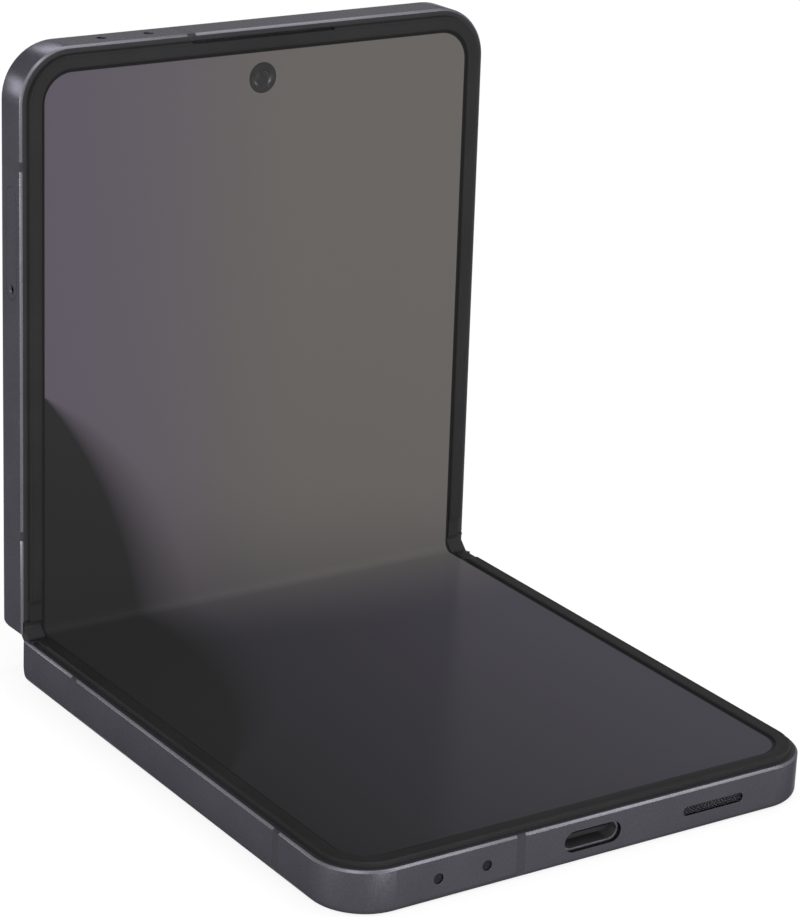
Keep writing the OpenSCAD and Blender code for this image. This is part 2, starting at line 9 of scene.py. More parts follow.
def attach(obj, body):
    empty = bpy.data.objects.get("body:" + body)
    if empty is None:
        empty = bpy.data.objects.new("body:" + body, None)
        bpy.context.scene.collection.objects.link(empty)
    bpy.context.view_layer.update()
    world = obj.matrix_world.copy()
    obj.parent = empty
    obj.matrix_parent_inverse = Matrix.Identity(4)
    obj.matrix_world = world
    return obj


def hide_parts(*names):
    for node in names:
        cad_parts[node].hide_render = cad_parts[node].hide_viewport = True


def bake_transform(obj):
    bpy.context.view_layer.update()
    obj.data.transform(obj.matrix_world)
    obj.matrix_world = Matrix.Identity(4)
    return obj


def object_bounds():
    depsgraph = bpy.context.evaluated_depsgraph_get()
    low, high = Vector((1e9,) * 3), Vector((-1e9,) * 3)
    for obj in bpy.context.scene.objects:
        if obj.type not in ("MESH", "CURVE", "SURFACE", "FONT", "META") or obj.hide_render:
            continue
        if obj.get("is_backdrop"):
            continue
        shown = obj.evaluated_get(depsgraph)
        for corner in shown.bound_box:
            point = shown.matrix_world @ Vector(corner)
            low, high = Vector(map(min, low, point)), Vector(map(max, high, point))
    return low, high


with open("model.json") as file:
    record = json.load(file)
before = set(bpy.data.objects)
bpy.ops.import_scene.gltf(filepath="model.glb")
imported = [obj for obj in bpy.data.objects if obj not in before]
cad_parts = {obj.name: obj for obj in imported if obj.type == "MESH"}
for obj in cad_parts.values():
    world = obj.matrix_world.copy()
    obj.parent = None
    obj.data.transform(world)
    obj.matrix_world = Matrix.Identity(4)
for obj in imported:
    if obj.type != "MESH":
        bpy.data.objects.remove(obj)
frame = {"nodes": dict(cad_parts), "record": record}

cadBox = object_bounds()
print("frame loaded,", len(frame["nodes"]), "solids")

# Sizes are in millimetres. Each half is drawn flat: x across, y from the hinge to the free end,
# z up from the metal frame's front face. A place matrix stands it up, in metres.
mm = 0.001
phone = {
    "halfWidth": 37.6, "halfLength": 83.4, "thickness": 6.15, "cornerRadius": 7.6,
    "halfFold": 44.5,      # degrees, of each half from the spine at rest
    "axisOut": 0.43, "axisUp": 0.37,    # each hinge axis, from the middle and over the frame
    "faceUp": 0.40,        # display face over the frame's front face
    "displayThickness": 0.75,
    "foldStart": 8.0,      # where the bending stretch of the display starts
    "middleDepth": 2.955,  # openings below the frame's front face
}

hingeY = phone["halfLength"] / 2
halfFold = math.radians(phone["halfFold"])
axisShift = Matrix.Translation((0, phone["axisOut"], phone["axisUp"]))
foldTurn = Matrix.Rotation(halfFold, 4, "X")
toMetres = Matrix.Scale(mm, 4)
lowerPlace = toMetres @ Matrix.Translation((0, hingeY, phone["thickness"])) \
    @ Matrix.Diagonal((1, -1, 1, 1))
spinePlace = toMetres @ Matrix.Translation(
    (0, hingeY - phone["axisOut"], phone["thickness"] + phone["axisUp"])) @ foldTurn \
    @ Matrix.Translation((0, phone["axisOut"], -phone["axisUp"]))
upperPlace = spinePlace @ axisShift @ foldTurn @ axisShift.inverted()
halves = (("lower", lowerPlace), ("upper", upperPlace))
spineSign = {"lower": -1, "upper": 1}    # the way that a half's y runs on the spine
placeOf = {"lower_half": lowerPlace, "hinge_spine": spinePlace}    # all else is in the upper


def linked(name, data):
    item = bpy.data.objects.new(name, data)
    bpy.context.scene.collection.objects.link(item)
    return item


view = {
    # metres and degrees, then mm, then shares of the frame, and metres again
    "location": (-0.235729, -0.337760, 0.190122), "turn": (71.030, -2.380, -33.444),
    "lens": 129.278, "sensor": 36.0, "shift": (0.0109, -0.0638), "clip": (0.01, 20),
}
cameraData = bpy.data.cameras.new("camera")
cameraData.lens = view["lens"]
cameraData.sensor_width = view["sensor"]
cameraData.shift_x, cameraData.shift_y = view["shift"]
cameraData.clip_start, cameraData.clip_end = view["clip"]
camera = linked("camera", cameraData)
camera.location = view["location"]
camera.rotation_euler = [math.radians(a) for a in view["turn"]]
bpy.context.scene.camera = camera
bpy.context.scene.view_settings.view_transform = "Standard"


def toLinear(code):
    channels = []
    for i in (1, 3, 5):
        c = int(code[i:i + 2], 16) / 255
        channels.append(c / 12.92 if c <= 0.04045 else ((c + 0.055) / 1.055) ** 2.4)
    return (*channels, 1.0)


def addNode(tree, kind, inputs=None, **settings):
    node = tree.nodes.new(kind)
    for key, value in settings.items():
        setattr(node, key, value)
    for key, value in (inputs or {}).items():
        if isinstance(value, bpy.types.Node):
            value = next(socket for socket in value.outputs if socket.enabled)
        if isinstance(value, bpy.types.NodeSocket):
            tree.links.new(value, node.inputs[key])
        else:
            node.inputs[key].default_value = value
    return node


def newMaterial(name):
    material = bpy.data.materials.new(name)
    material.use_nodes = True
    material.node_tree.nodes.clear()
    return material, material.node_tree


studio = {
    "ambient": 0.55,       # what the white room gives to matt surfaces
    "floorWhite": 0.85,    # how far the floor is lifted to white for the eye
    "floorMirrored": 0.5,  # and where it is mirrored, so that it darkens under the object
    "floorSize": 6,        # metres each way
    "floorGrain": 60.0, "floorColours": ("#f4f4f3", "#fbfbfa"),
    "lamps": [
        # name, place, aim, width, height, watts
        ("leftSoftbox", (-0.95, -0.20, 0.62), (0, 0, 0.05), 0.55, 0.75, 1.5),
        ("frontSoftbox", (-0.20, -1.05, 0.75), (0, 0, 0.05), 0.90, 0.45, 0.4),
        ("topSoftbox", (0.30, 0.05, 1.20), (0, 0, 0.03), 0.80, 0.60, 4.2),
        ("backLeftStrip", (-0.58, 0.76, 0.18), (-0.0376, 0.045, 0.075), 0.24, 0.28, 1.5),
        ("backTopStrip", (0.15, 0.75, 0.61), (-0.0376, 0.045, 0.075), 0.30, 0.20, 1.6),
        ("lowLeftStrip", (-0.78, -0.02, 0.07), (-0.03, -0.04, 0), 0.20, 0.10, 2.4),
        ("lowFrontStrip", (0.03, -0.79, 0.07), (-0.03, -0.04, 0), 0.25, 0.10, 6.4),
        ("lowRightStrip", (0.655, -0.48, 0.07), (0.035, -0.04, 0), 0.15, 0.10, 1.3),
        ("highRightSoftbox", (0.50, -0.50, 0.74), (0, -0.02, 0), 0.25, 0.20, 1.4),
        ("highLeftSoftbox", (-0.42, -0.34, 0.86), (-0.03, -0.04, 0), 0.35, 0.25, 1.5),
    ],
}

world = bpy.data.worlds.new("studioWorld")
bpy.context.scene.world = world
world.use_nodes = True
tree = world.node_tree
tree.nodes.clear()
rays = addNode(tree, "ShaderNodeLightPath")
seen = addNode(tree, "ShaderNodeMath", {0: rays.outputs["Is Camera Ray"],
    1: rays.outputs["Is Glossy Ray"]}, operation="ADD")
seen = addNode(tree, "ShaderNodeMath", {0: seen, 1: rays.outputs["Is Transmission Ray"]},
    operation="ADD", use_clamp=True)
lit = addNode(tree, "ShaderNodeBackground", {"Color": (1, 1, 1, 1),
    "Strength": studio["ambient"]})
shown = addNode(tree, "ShaderNodeBackground", {"Color": (1, 1, 1, 1), "Strength": 1.0})
mixed = addNode(tree, "ShaderNodeMixShader", {0: seen, 1: lit, 2: shown})
addNode(tree, "ShaderNodeOutputWorld", {"Surface": mixed})

for name, place, aim, width, height, watts in studio["lamps"]:
    lamp = bpy.data.lights.new(name, "AREA")
    lamp.shape = "RECTANGLE"
    lamp.size, lamp.size_y, lamp.energy = width, height, watts
    stand = linked(name, lamp)
    stand.location = place
    stand.rotation_euler = (Vector(aim) - Vector(place)).to_track_quat("-Z", "Y").to_euler()

floorMaterial, tree = newMaterial("paperSweep")
rays = addNode(tree, "ShaderNodeLightPath")
seen = addNode(tree, "ShaderNodeMath", {0: rays.outputs["Is Camera Ray"],
    1: rays.outputs["Is Transmission Ray"]}, operation="ADD", use_clamp=True)
seen = addNode(tree, "ShaderNodeMath", {0: seen, 1: studio["floorWhite"]},
    operation="MULTIPLY")
share = addNode(tree, "ShaderNodeMath", {0: rays.outputs["Is Glossy Ray"],
    1: studio["floorMirrored"], 2: seen}, operation="MULTIPLY_ADD")
coords = addNode(tree, "ShaderNodeTexCoord").outputs["Object"]
grain = addNode(tree, "ShaderNodeTexNoise", {"Vector": coords,
    "Scale": studio["floorGrain"], "Detail": 3.0})
dark, light = (toLinear(code) for code in studio["floorColours"])
paper = addNode(tree, "ShaderNodeMix", {"Factor": grain, "A": dark, "B": light},
    data_type="RGBA")
matt = addNode(tree, "ShaderNodeBsdfDiffuse", {"Color": paper})
white = addNode(tree, "ShaderNodeEmission", {"Color": (1, 1, 1, 1), "Strength": 1.0})
mixed = addNode(tree, "ShaderNodeMixShader", {0: share, 1: matt, 2: white})
addNode(tree, "ShaderNodeOutputMaterial", {"Surface": mixed})

floorMesh = bpy.data.meshes.new("floor")
reach = studio["floorSize"]
floorMesh.from_pydata([(x * reach, y * reach, 0) for x, y in ((-1, -1), (1, -1), (1, 1),
    (-1, 1))], [], [(0, 1, 2, 3)])
floorMesh.materials.append(floorMaterial)
floorObject = linked("floor", floorMesh)
floorObject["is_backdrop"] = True
print("camera, lamps and floor set")


def grains(tree, size, detail=2.0, stretch=(1, 1, 1)):
    coords = addNode(tree, "ShaderNodeTexCoord").outputs["Object"]
    mapped = addNode(tree, "ShaderNodeMapping", {"Vector": coords, "Scale": stretch})
    return addNode(tree, "ShaderNodeTexNoise", {"Vector": mapped, "Scale": 1 / (size * mm),
        "Detail": detail, "Roughness": 0.55})


# Clouds in mm, and the span of noise values that each range is spread over
noiseRange = {"cloud": 9.0, "shade": (0.36, 0.64), "rough": (0.3, 0.7)}


def finish(name, look):
    # Fine grains over broad clouds give the shade; the grains also give roughness and bump
    material, tree = newMaterial(name)
    fine = grains(tree, look["grain"], stretch=look.get("stretch", (1, 1, 1)))
    broad = grains(tree, noiseRange["cloud"], detail=1.0)
    both = addNode(tree, "ShaderNodeMath", {0: fine, 1: broad}, operation="ADD")
    half = addNode(tree, "ShaderNodeMath", {0: both, 1: 0.5}, operation="MULTIPLY")
    low, high = noiseRange["shade"]
    spread = addNode(tree, "ShaderNodeMapRange", {"Value": half, "From Min": low,
        "From Max": high})
    shade = addNode(tree, "ShaderNodeMix", {"Factor": spread, "A": toLinear(look["dark"]),
        "B": toLinear(look["light"])}, data_type="RGBA")
    low, high = noiseRange["rough"]
    rough = addNode(tree, "ShaderNodeMapRange", {"Value": fine, "From Min": low,
        "From Max": high, "To Min": look["rough"][0], "To Max": look["rough"][1]})
    raised = addNode(tree, "ShaderNodeBump", {"Height": fine, "Strength": 1.0,
        "Distance": look["bump"] * mm})
    shader = addNode(tree, "ShaderNodeBsdfPrincipled", {
        "Base Color": shade, "Roughness": rough, "Normal": raised,
        "Metallic": look.get("metal", 0.0), "Specular IOR Level": look.get("gloss", 0.5),
        "Specular Tint": toLinear(look.get("edge", "#ffffff")),
        "Coat Weight": look.get("coat", 0.0), "Coat Roughness": look.get("coatRough", 0.05)})
    addNode(tree, "ShaderNodeOutputMaterial", {"Surface": shader})
    return material


looks = {
    # aluminium, bead blasted and dyed: a dense satin with a faint sparkle; the blast's 0.05 mm
    # pits are drawn at 0.3 mm so that they show
    "blastedAluminium": {"dark": "#46454b", "light": "#4c4b51", "grain": 0.3, "metal": 1.0,
        "rough": (0.26, 0.32), "bump": 0.0014, "edge": "#bcbcbe"},
    # the same metal, given a lighter colour along the chamfer as a painted highlight: a clean
    # pale line
    "paintedChamferHighlight": {"dark": "#5e5d63", "light": "#646369", "grain": 0.5, "metal": 1.0,
        "rough": (0.34, 0.40), "bump": 0.0001, "edge": "#bcbcbe"},
    # glass-filled nylon moulded into the frame: a shade darker and drier than the metal
    "mouldedBand": {"dark": "#28272c", "light": "#2d2c31", "grain": 0.25, "gloss": 0.08,
        "rough": (0.48, 0.58), "bump": 0.003},
    # soft polyurethane bezel, moulded: dull black with a low broad sheen
    "mouldedBezel": {"dark": "#1c1c1d", "light": "#202021", "grain": 0.22, "gloss": 0.03,
        "rough": (0.50, 0.60), "bump": 0.003},
    "bezelSkirt": {"dark": "#1c1c1e", "light": "#202022", "grain": 0.22, "gloss": 0.10,
        "rough": (0.55, 0.65), "bump": 0.002},
    "mouldedCap": {"dark": "#18181a", "light": "#1b1b1c", "grain": 0.22, "gloss": 0.10,
        "rough": (0.50, 0.60), "bump": 0.003},
    # chemically strengthened glass, etched behind and inked: silky, slightly milky depth
    "etchedBackGlass": {"dark": "#454449", "light": "#4a494f", "grain": 0.6, "gloss": 0.5,
        "rough": (0.26, 0.32), "bump": 0.0004, "coat": 0.25, "coatRough": 0.22},
    # polished glass over an unlit screen: deep black with a hard reflection
    "polishedCoverGlass": {"dark": "#0e0e10", "light": "#121215", "grain": 2.0, "gloss": 0.5,
        "rough": (0.05, 0.07), "bump": 0.0001, "coat": 1.0, "coatRough": 0.03},
    "unlitScreen": {"dark": "#08080a", "light": "#0c0c0f", "grain": 0.5, "gloss": 0.5,
        "rough": (0.12, 0.18), "bump": 0.0002},
    # rolled stainless sheet: long fine lines across the width
    "rolledSteel": {"dark": "#98989b", "light": "#b2b2b5", "grain": 0.2, "metal": 1.0,
        "rough": (0.26, 0.40), "bump": 0.003, "stretch": (0.06, 1, 1)},
    "machinedSteel": {"dark": "#77777c", "light": "#929297", "grain": 0.25, "metal": 1.0,
        "rough": (0.24, 0.36), "bump": 0.002, "stretch": (0.15, 1, 1)},
    "blackenedSteel": {"dark": "#2b2b2d", "light": "#3c3c3f", "grain": 0.2, "metal": 1.0,
        "rough": (0.34, 0.46), "bump": 0.002},
    # tin-plated spring steel: soft grey with a mottled lustre
    "platedSteel": {"dark": "#8e8e91", "light": "#a6a6a9", "grain": 0.6, "metal": 1.0,
        "rough": (0.30, 0.42), "bump": 0.002},
    # drawn steel, dull plated: a grey lip, with some light scattered back from inside
    "drawnShell": {"dark": "#525256", "light": "#5c5c60", "grain": 0.3, "metal": 0.6,
        "rough": (0.34, 0.44), "bump": 0.001},
    "socketTongue": {"dark": "#161617", "light": "#1c1c1e", "grain": 0.3, "gloss": 0.1,
        "rough": (0.42, 0.55), "bump": 0.003},
    "goldPlate": {"dark": "#b08a4a", "light": "#c49c58", "grain": 0.4, "metal": 1.0,
        "rough": (0.22, 0.30), "bump": 0.0005},
    "nickelPlate": {"dark": "#a7a39b", "light": "#bab6ae", "grain": 0.8, "metal": 1.0,
        "rough": (0.16, 0.24), "bump": 0.001},
    # aluminised pouch film: crinkled and slightly glossy
    "pouchFoil": {"dark": "#1f1f22", "light": "#2b2b2f", "grain": 1.6, "metal": 0.2,
        "rough": (0.28, 0.42), "bump": 0.04, "gloss": 0.5},
    # enamelled copper wire: warm and glossy
    "enamelledCopper": {"dark": "#94532c", "light": "#b8733f", "grain": 0.4, "metal": 1.0,
        "rough": (0.22, 0.32), "bump": 0.002},
    # epoxy laminate under green solder mask
    "solderMask": {"dark": "#122f29", "light": "#1b3f37", "grain": 0.8, "gloss": 0.45,
        "rough": (0.32, 0.44), "bump": 0.004},
    # liquid-crystal polymer, moulded: dead black with fine flow marks
    "mouldedModule": {"dark": "#151517", "light": "#1e1e20", "grain": 0.3, "gloss": 0.3,
        "rough": (0.45, 0.60), "bump": 0.004},
    # woven stainless wire, blackened
    "blackWire": {"dark": "#252428", "light": "#2e2d31", "grain": 0.2, "metal": 0.9,
        "rough": (0.38, 0.50), "bump": 0.001},
    # polyimide film: clear amber-brown with a soft gloss
    "polyimideFilm": {"dark": "#6d431a", "light": "#865726", "grain": 1.2, "gloss": 0.5,
        "rough": (0.22, 0.30), "bump": 0.001},
    # multi-coated lens glass: near black with a cold tint
    "coatedLens": {"dark": "#07070c", "light": "#0c0c16", "grain": 3.0, "gloss": 0.6,
        "rough": (0.03, 0.05), "bump": 0.00005, "coat": 1.0, "coatRough": 0.02},
    # the punched hole's window, inked black from behind
    "inkedWindow": {"dark": "#1f1f20", "light": "#242424", "grain": 1.0, "gloss": 0.08,
        "rough": (0.20, 0.28), "bump": 0.0002},
    # pressed acoustic felt
    "pressedFelt": {"dark": "#151418", "light": "#19181c", "grain": 0.25, "gloss": 0.1,
        "rough": (0.80, 0.95), "bump": 0.02},
    "lensBarrel": {"dark": "#101012", "light": "#19191b", "grain": 0.25, "gloss": 0.4,
        "rough": (0.40, 0.52), "bump": 0.002},
    # frosted silicone over the flash: warm white and soft
    "flashDiffuser": {"dark": "#dcd5bf", "light": "#efe9d6", "grain": 0.3, "gloss": 0.4,
        "rough": (0.30, 0.42), "bump": 0.004},
}
finishes = {name: finish(name, look) for name, look in looks.items()}

# The screen shows a plain generic picture: a soft glow with one broad dark disc before it, on a
# ground lightened to the right as a painted reflection
picture = {
    "width": 100.0,          # mm that one unit of the UV map stands for
    "glowAt": (34.0, 60.0), "glowSquash": 0.6, "glowFrom": 82.0, "glowTo": 46.0,
    "darkDiscAt": (-58.0, -8.0), "darkDiscRadius": 49.0,
    "rimFrom": -34.0, "rimTo": 6.0, "rimCrisp": 0.3, "rimSoft": 26.0, "discShade": 0.94,
    # side, sideFrom and sideTo: the ground's painted reflection, lighter to the right
    "sideFrom": -44.0, "sideTo": 30.0, "warmFrom": -34.0, "warmTo": 12.0,
    "dark": "#2a2a2a", "warm": "#63605d", "violet": "#5b555f", "side": "#44424a",
    "activeHalfWidth": 34.15, "activeHalfLength": 79.95, "activeCorner": 4.2,
    "border": "#222223",
    "lit": 0.63, "scattered": 0.24, "mirrored": 0.01, "grain": 0.4, "rough": (0.16, 0.24),
}


def screenMaterial():
    # organic display under an antireflective film: lit from inside, almost no mirror image
    material, tree = newMaterial("litFilmScreen")
    width, corner = picture["width"], picture["activeCorner"]
    uv = addNode(tree, "ShaderNodeUVMap", uv_map="UVMap")
    centred = addNode(tree, "ShaderNodeVectorMath", {0: uv, 1: (0.5, 0.5, 0)},
        operation="SUBTRACT")
    spot = addNode(tree, "ShaderNodeVectorMath", {0: centred, 1: (width, 2 * width, 0)},
        operation="MULTIPLY")
    across = addNode(tree, "ShaderNodeSeparateXYZ", {0: spot}).outputs[0]

    # A dark ground, a little lighter to the right as a painted reflection of the studio's
    # light, and a wide glow over it
    apart = addNode(tree, "ShaderNodeVectorMath", {0: spot, 1: (*picture["glowAt"], 0)},
        operation="SUBTRACT")
    apart = addNode(tree, "ShaderNodeVectorMath", {0: apart,
        1: (picture["glowSquash"], 1, 0)}, operation="MULTIPLY")
    away = addNode(tree, "ShaderNodeVectorMath", {0: apart}, operation="LENGTH")
    shares = {}
    for name, value, kind in (("side", across, "LINEAR"), ("warm", across, "SMOOTHSTEP"),
            ("glow", away, "SMOOTHSTEP")):
        shares[name] = addNode(tree, "ShaderNodeMapRange", {"Value": value,
            "From Min": picture[name + "From"], "From Max": picture[name + "To"]},
            interpolation_type=kind)
    light = addNode(tree, "ShaderNodeMix", {"Factor": shares["warm"],
        "A": toLinear(picture["violet"]), "B": toLinear(picture["warm"])}, data_type="RGBA")

    # The disc's rim is crisp on the left and melts away to the right
    rimWidth = addNode(tree, "ShaderNodeMapRange", {"Value": across,
        "From Min": picture["rimFrom"], "From Max": picture["rimTo"],
        "To Min": picture["rimCrisp"], "To Max": picture["rimSoft"]})
    away = addNode(tree, "ShaderNodeVectorMath", {0: spot, 1: (*picture["darkDiscAt"], 0)},
        operation="DISTANCE")
    inside = addNode(tree, "ShaderNodeMath", {0: picture["darkDiscRadius"], 1: away},
        operation="SUBTRACT")
    cover = addNode(tree, "ShaderNodeMath", {0: inside, 1: rimWidth}, operation="DIVIDE",
        use_clamp=True)
    cover = addNode(tree, "ShaderNodeMath", {0: cover, 1: picture["discShade"]},
        operation="MULTIPLY")

    # Black border outside a rounded rectangle
    folded = addNode(tree, "ShaderNodeVectorMath", {0: spot}, operation="ABSOLUTE")
    beyond = addNode(tree, "ShaderNodeVectorMath", {0: folded,
        1: (picture["activeHalfWidth"] - corner, picture["activeHalfLength"] - corner, 0)},
        operation="SUBTRACT")
    beyond = addNode(tree, "ShaderNodeVectorMath", {0: beyond, 1: (0, 0, 0)},
        operation="MAXIMUM")
    away = addNode(tree, "ShaderNodeVectorMath", {0: beyond}, operation="LENGTH")
    outside = addNode(tree, "ShaderNodeMath", {0: away, 1: corner},
        operation="GREATER_THAN")

    image = toLinear(picture["dark"])
    for share, colour in ((shares["side"], toLinear(picture["side"])), (shares["glow"], light),
            (cover, toLinear(picture["dark"])), (outside, toLinear(picture["border"]))):
        image = addNode(tree, "ShaderNodeMix", {"Factor": share, "A": image, "B": colour},
            data_type="RGBA")

    # Most of the picture is light from inside; the rest is what the film scatters back
    scattered = addNode(tree, "ShaderNodeMix", {"Factor": picture["scattered"],
        "A": (0, 0, 0, 1), "B": image}, data_type="RGBA")
    fine = addNode(tree, "ShaderNodeMapRange", {"Value": grains(tree, picture["grain"]),
        "To Min": picture["rough"][0], "To Max": picture["rough"][1]})
    shader = addNode(tree, "ShaderNodeBsdfPrincipled", {
        "Base Color": scattered, "Roughness": fine, "Specular IOR Level": picture["mirrored"],
        "Emission Color": image, "Emission Strength": picture["lit"]})
    addNode(tree, "ShaderNodeOutputMaterial", {"Surface": shader})
    return material


finishes["litFilmScreen"] = screenMaterial()
slotFinish = {
    "frame_aluminium": "blastedAluminium", "spine_aluminium": "blastedAluminium",
    "band_plastic": "mouldedBand", "bezel_soft": "mouldedBezel", "cap_plastic": "mouldedCap",
    "folding_screen": "litFilmScreen", "steel_sheet": "rolledSteel",
    "back_glass": "etchedBackGlass", "cover_screen": "unlitScreen",
    "battery_foil": "pouchFoil", "coil_copper": "enamelledCopper",
    "board_laminate": "solderMask", "plated_steel": "platedSteel",
    "magnet_nickel": "nickelPlate", "hinge_steel": "machinedSteel",
    "screw_steel": "blackenedSteel", "module_plastic": "mouldedModule",
    "mesh_steel": "blackWire", "flex_film": "polyimideFilm", "lens_glass": "coatedLens",
    "flash_diffuser": "flashDiffuser",
}
nodeFinish = {
    "cover_glass": "polishedCoverGlass", "socket_shell": "drawnShell",
    "socket_tongue": "socketTongue", "lower_microphones": "drawnShell",
    "upper_microphone": "drawnShell",
}
slotOf = {row["node"]: row["material_slot"] for row in frame["record"]["subparts"]}
for nodeName, slot in slotOf.items():
    materials = frame["nodes"][nodeName].data.materials
    materials.clear()
    materials.append(finishes[nodeFinish.get(nodeName, slotFinish[slot])])
print("finishes set")


def addPiece(name, mesh, body, nodes, *materialNames, slot=None):
    piece = linked(name, mesh)
    mesh.materials.clear()
    for materialName in materialNames:
        mesh.materials.append(finishes[materialName])
    if nodes:
        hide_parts(*nodes)
    if body:
        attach(piece, body)
    return piece


def smoothShade(mesh, angle):
    if "custom_normal" in mesh.attributes:
        mesh.attributes.remove(mesh.attributes["custom_normal"])
    mesh.shade_smooth()
    mesh.set_sharp_from_angle(angle=math.radians(angle))


def settled(piece):
    # Turns what the modifiers give into the piece's own mesh
    graph = bpy.context.evaluated_depsgraph_get()
    mesh = bpy.data.meshes.new_from_object(piece.evaluated_get(graph), depsgraph=graph)
    piece.modifiers.clear()
    piece.data = mesh
    return piece


repair = {
    # mm, degrees, the cosine that counts as square, and mm2
    "mergeWithin": 0.002, "flatAngle": 0.6, "hardAngle": 35, "smoothAngle": 50,
    "squareFrom": 0.99999, "smallFace": 0.005,
}


def plainMesh(bm, name):
    mesh = bpy.data.meshes.new(name)
    bm.to_mesh(mesh)
    bm.free()
    return mesh


def mergedCopy(nodeName, name):
    # A solid's loose triangles joined up, with whole faces where they are flat
    bm = bmesh.new()
    bm.from_mesh(frame["nodes"][nodeName].data)
    bmesh.ops.remove_doubles(bm, verts=bm.verts, dist=repair["mergeWithin"] * mm)
    bmesh.ops.dissolve_limit(bm, angle_limit=math.radians(repair["flatAngle"]),
        verts=bm.verts, edges=bm.edges)
    bmesh.ops.triangulate(bm, faces=[face for face in bm.faces if len(face.verts) > 4])
    return plainMesh(bm, name)


def meshFrom(bm, name, place):
    # A closed shape stood in its place, its faces pointing outwards
    bm.transform(place)
    bm.normal_update()
    bmesh.ops.recalc_face_normals(bm, faces=bm.faces)
    if bm.calc_volume(signed=True) < 0:
        bmesh.ops.reverse_faces(bm, faces=bm.faces)
    return plainMesh(bm, name)


def flatPlanes(mesh, place):
    # Planes square to the body stay flat, so that only arcs and rolled edges shade smoothly
    axes = [(place.to_3x3() @ Vector(axis)).normalized()
        for axis in ((1, 0, 0), (0, 1, 0), (0, 0, 1))]
    smoothShade(mesh, repair["smoothAngle"])
    for face in mesh.polygons:
        square = [a for a in axes if abs(face.normal.dot(a)) > repair["squareFrom"]]
        if not square or face.area < repair["smallFace"] * mm * mm:
            continue
        face.use_smooth = False
        # Every corner goes exactly into the plane, so that a polish shows no facets
        corners = [mesh.vertices[i] for i in face.vertices]
        level = sorted(corner.co.dot(square[0]) for corner in corners)[len(corners) // 2]
        for corner in corners:
            corner.co += (level - corner.co.dot(square[0])) * square[0]


def cutAway(piece, cutterMesh):
    cutter = linked("cutter", cutterMesh)
    cut = piece.modifiers.new("cut", "BOOLEAN")
    cut.operation = "DIFFERENCE"
    cut.solver = "EXACT"
    cut.object = cutter
    settled(piece)
    bpy.data.objects.remove(cutter)


def softenedNode(name, nodeName, body, width, segments, materialNames, cutter=None):
    # A copy of a solid with its hard edges rolled over by a small radius, in mm
    piece = linked(name, mergedCopy(nodeName, name))
    if cutter:
        cutAway(piece, cutter)
    bevel = piece.modifiers.new("rolledEdges", "BEVEL")
    bevel.width = width * mm
    bevel.segments = segments
    bevel.limit_method = "ANGLE"
    bevel.angle_limit = math.radians(repair["hardAngle"])
    bevel.miter_outer = "MITER_ARC"
    bevel.use_clamp_overlap = True
    mesh = settled(piece).data
    bpy.data.objects.remove(piece)
    flatPlanes(mesh, placeOf.get(body, upperPlace))
    return addPiece(name, mesh, body, [nodeName], *materialNames)


def cornerStation(side, angle):
    # A place on the outline's rounded corner, and its outward direction
    corner, turn = phone["cornerRadius"], math.radians(angle)
    out = Vector((side * math.cos(turn), math.sin(turn)))
    return Vector((side * (phone["halfWidth"] - corner), phone["halfLength"] - corner)) \
        + corner * out, out


def outlineStations(sides, ends, cornerStep=5):
    # Round a half from the hinge's left end to its right end
    half, long = phone["halfWidth"], phone["halfLength"]
    places = [(Vector((-half, s)), Vector((-1, 0))) for s in sides]
    places += [cornerStation(-1, a) for a in range(0, 91, cornerStep)]
    places += [(Vector((x, long)), Vector((0, 1))) for x in ends]
    places += [cornerStation(1, a) for a in range(90, -1, -cornerStep)]
    places += [(Vector((half, s)), Vector((1, 0))) for s in reversed(sides)]
    return places


def skinRings(bm, rings):
    # Faces from ring to ring, and the two ends capped
    count = len(rings[0])
    for a, b in zip(rings, rings[1:]):
        for i in range(count):
            j = (i + 1) % count
            bm.faces.new((a[i], a[j], b[j], b[i]))
    bm.faces.new(rings[0])
    bm.faces.new(list(reversed(rings[-1])))


def sweptMesh(name, places, section, place):
    # section(s) gives (inset, height) pairs
    bm = bmesh.new()
    rings = []
    for point, out in places:
        rings.append([bm.verts.new((*(point - out * inset), height))
            for inset, height in section(point.y)])
    skinRings(bm, rings)
    bmesh.ops.remove_doubles(bm, verts=bm.verts, dist=0.0005)
    return meshFrom(bm, name, place)


def lathedMesh(bm, profile, centre, steps=48, bands=None):
    # (radius, height) pairs turned round an axis along z; a radius of 0 is one point
    angles = [2 * math.pi * k / steps for k in range(steps)]
    rings = [[bm.verts.new((centre[0] + radius * math.cos(a), centre[1] + radius * math.sin(a),
        height)) for a in (angles if radius else [0])] for radius, height in profile]
    for n, (a, b) in enumerate(zip(rings, rings[1:])):
        for k in range(steps):
            j = (k + 1) % steps
            corners = [a[k % len(a)], a[j % len(a)], b[j % len(b)], b[k % len(b)]]
            unique = list(dict.fromkeys(corners))
            if len(unique) > 2:
                face = bm.faces.new(unique)
                if bands:
                    face.material_index = bands[n]


frames = {
    "edgeRoll": 0.07, "keyRoll": 0.25, "capRoll": 0.14,   # mm
    "hingeEndRadius": 2.0, "hingeEnd": 0.1, "hingeEndSteps": 9,
    "cutterHalf": 40, "cutterMargin": 1,
    # where the chamfer's painted highlight goes: its height, tilt and width
    "chamferHeight": (-0.33, 0.02), "chamferTilt": (0.6, 0.92), "chamferWidth": 0.36,
}


def chamferHighlightFaces(mesh, place):
    # The chamfer round the front face gets the lighter metal, a painted highlight
    back = place.inverted()
    turn = back.to_3x3()
    low, high = frames["chamferHeight"]
    least, most = frames["chamferTilt"]
    for face in mesh.polygons:
        middle = back @ face.center
        tilt = (turn @ face.normal).normalized()
        if low < middle.z < high and least < tilt.z < most:
            inset = min(phone["halfWidth"] - abs(middle.x), phone["halfLength"] - middle.y)
            corner = Vector((abs(middle.x), middle.y)) - Vector((
                phone["halfWidth"] - phone["cornerRadius"],
                phone["halfLength"] - phone["cornerRadius"]))
            if corner.x > 0 and corner.y > 0:
                inset = phone["cornerRadius"] - corner.length
            if inset < frames["chamferWidth"]:
                face.material_index = 1


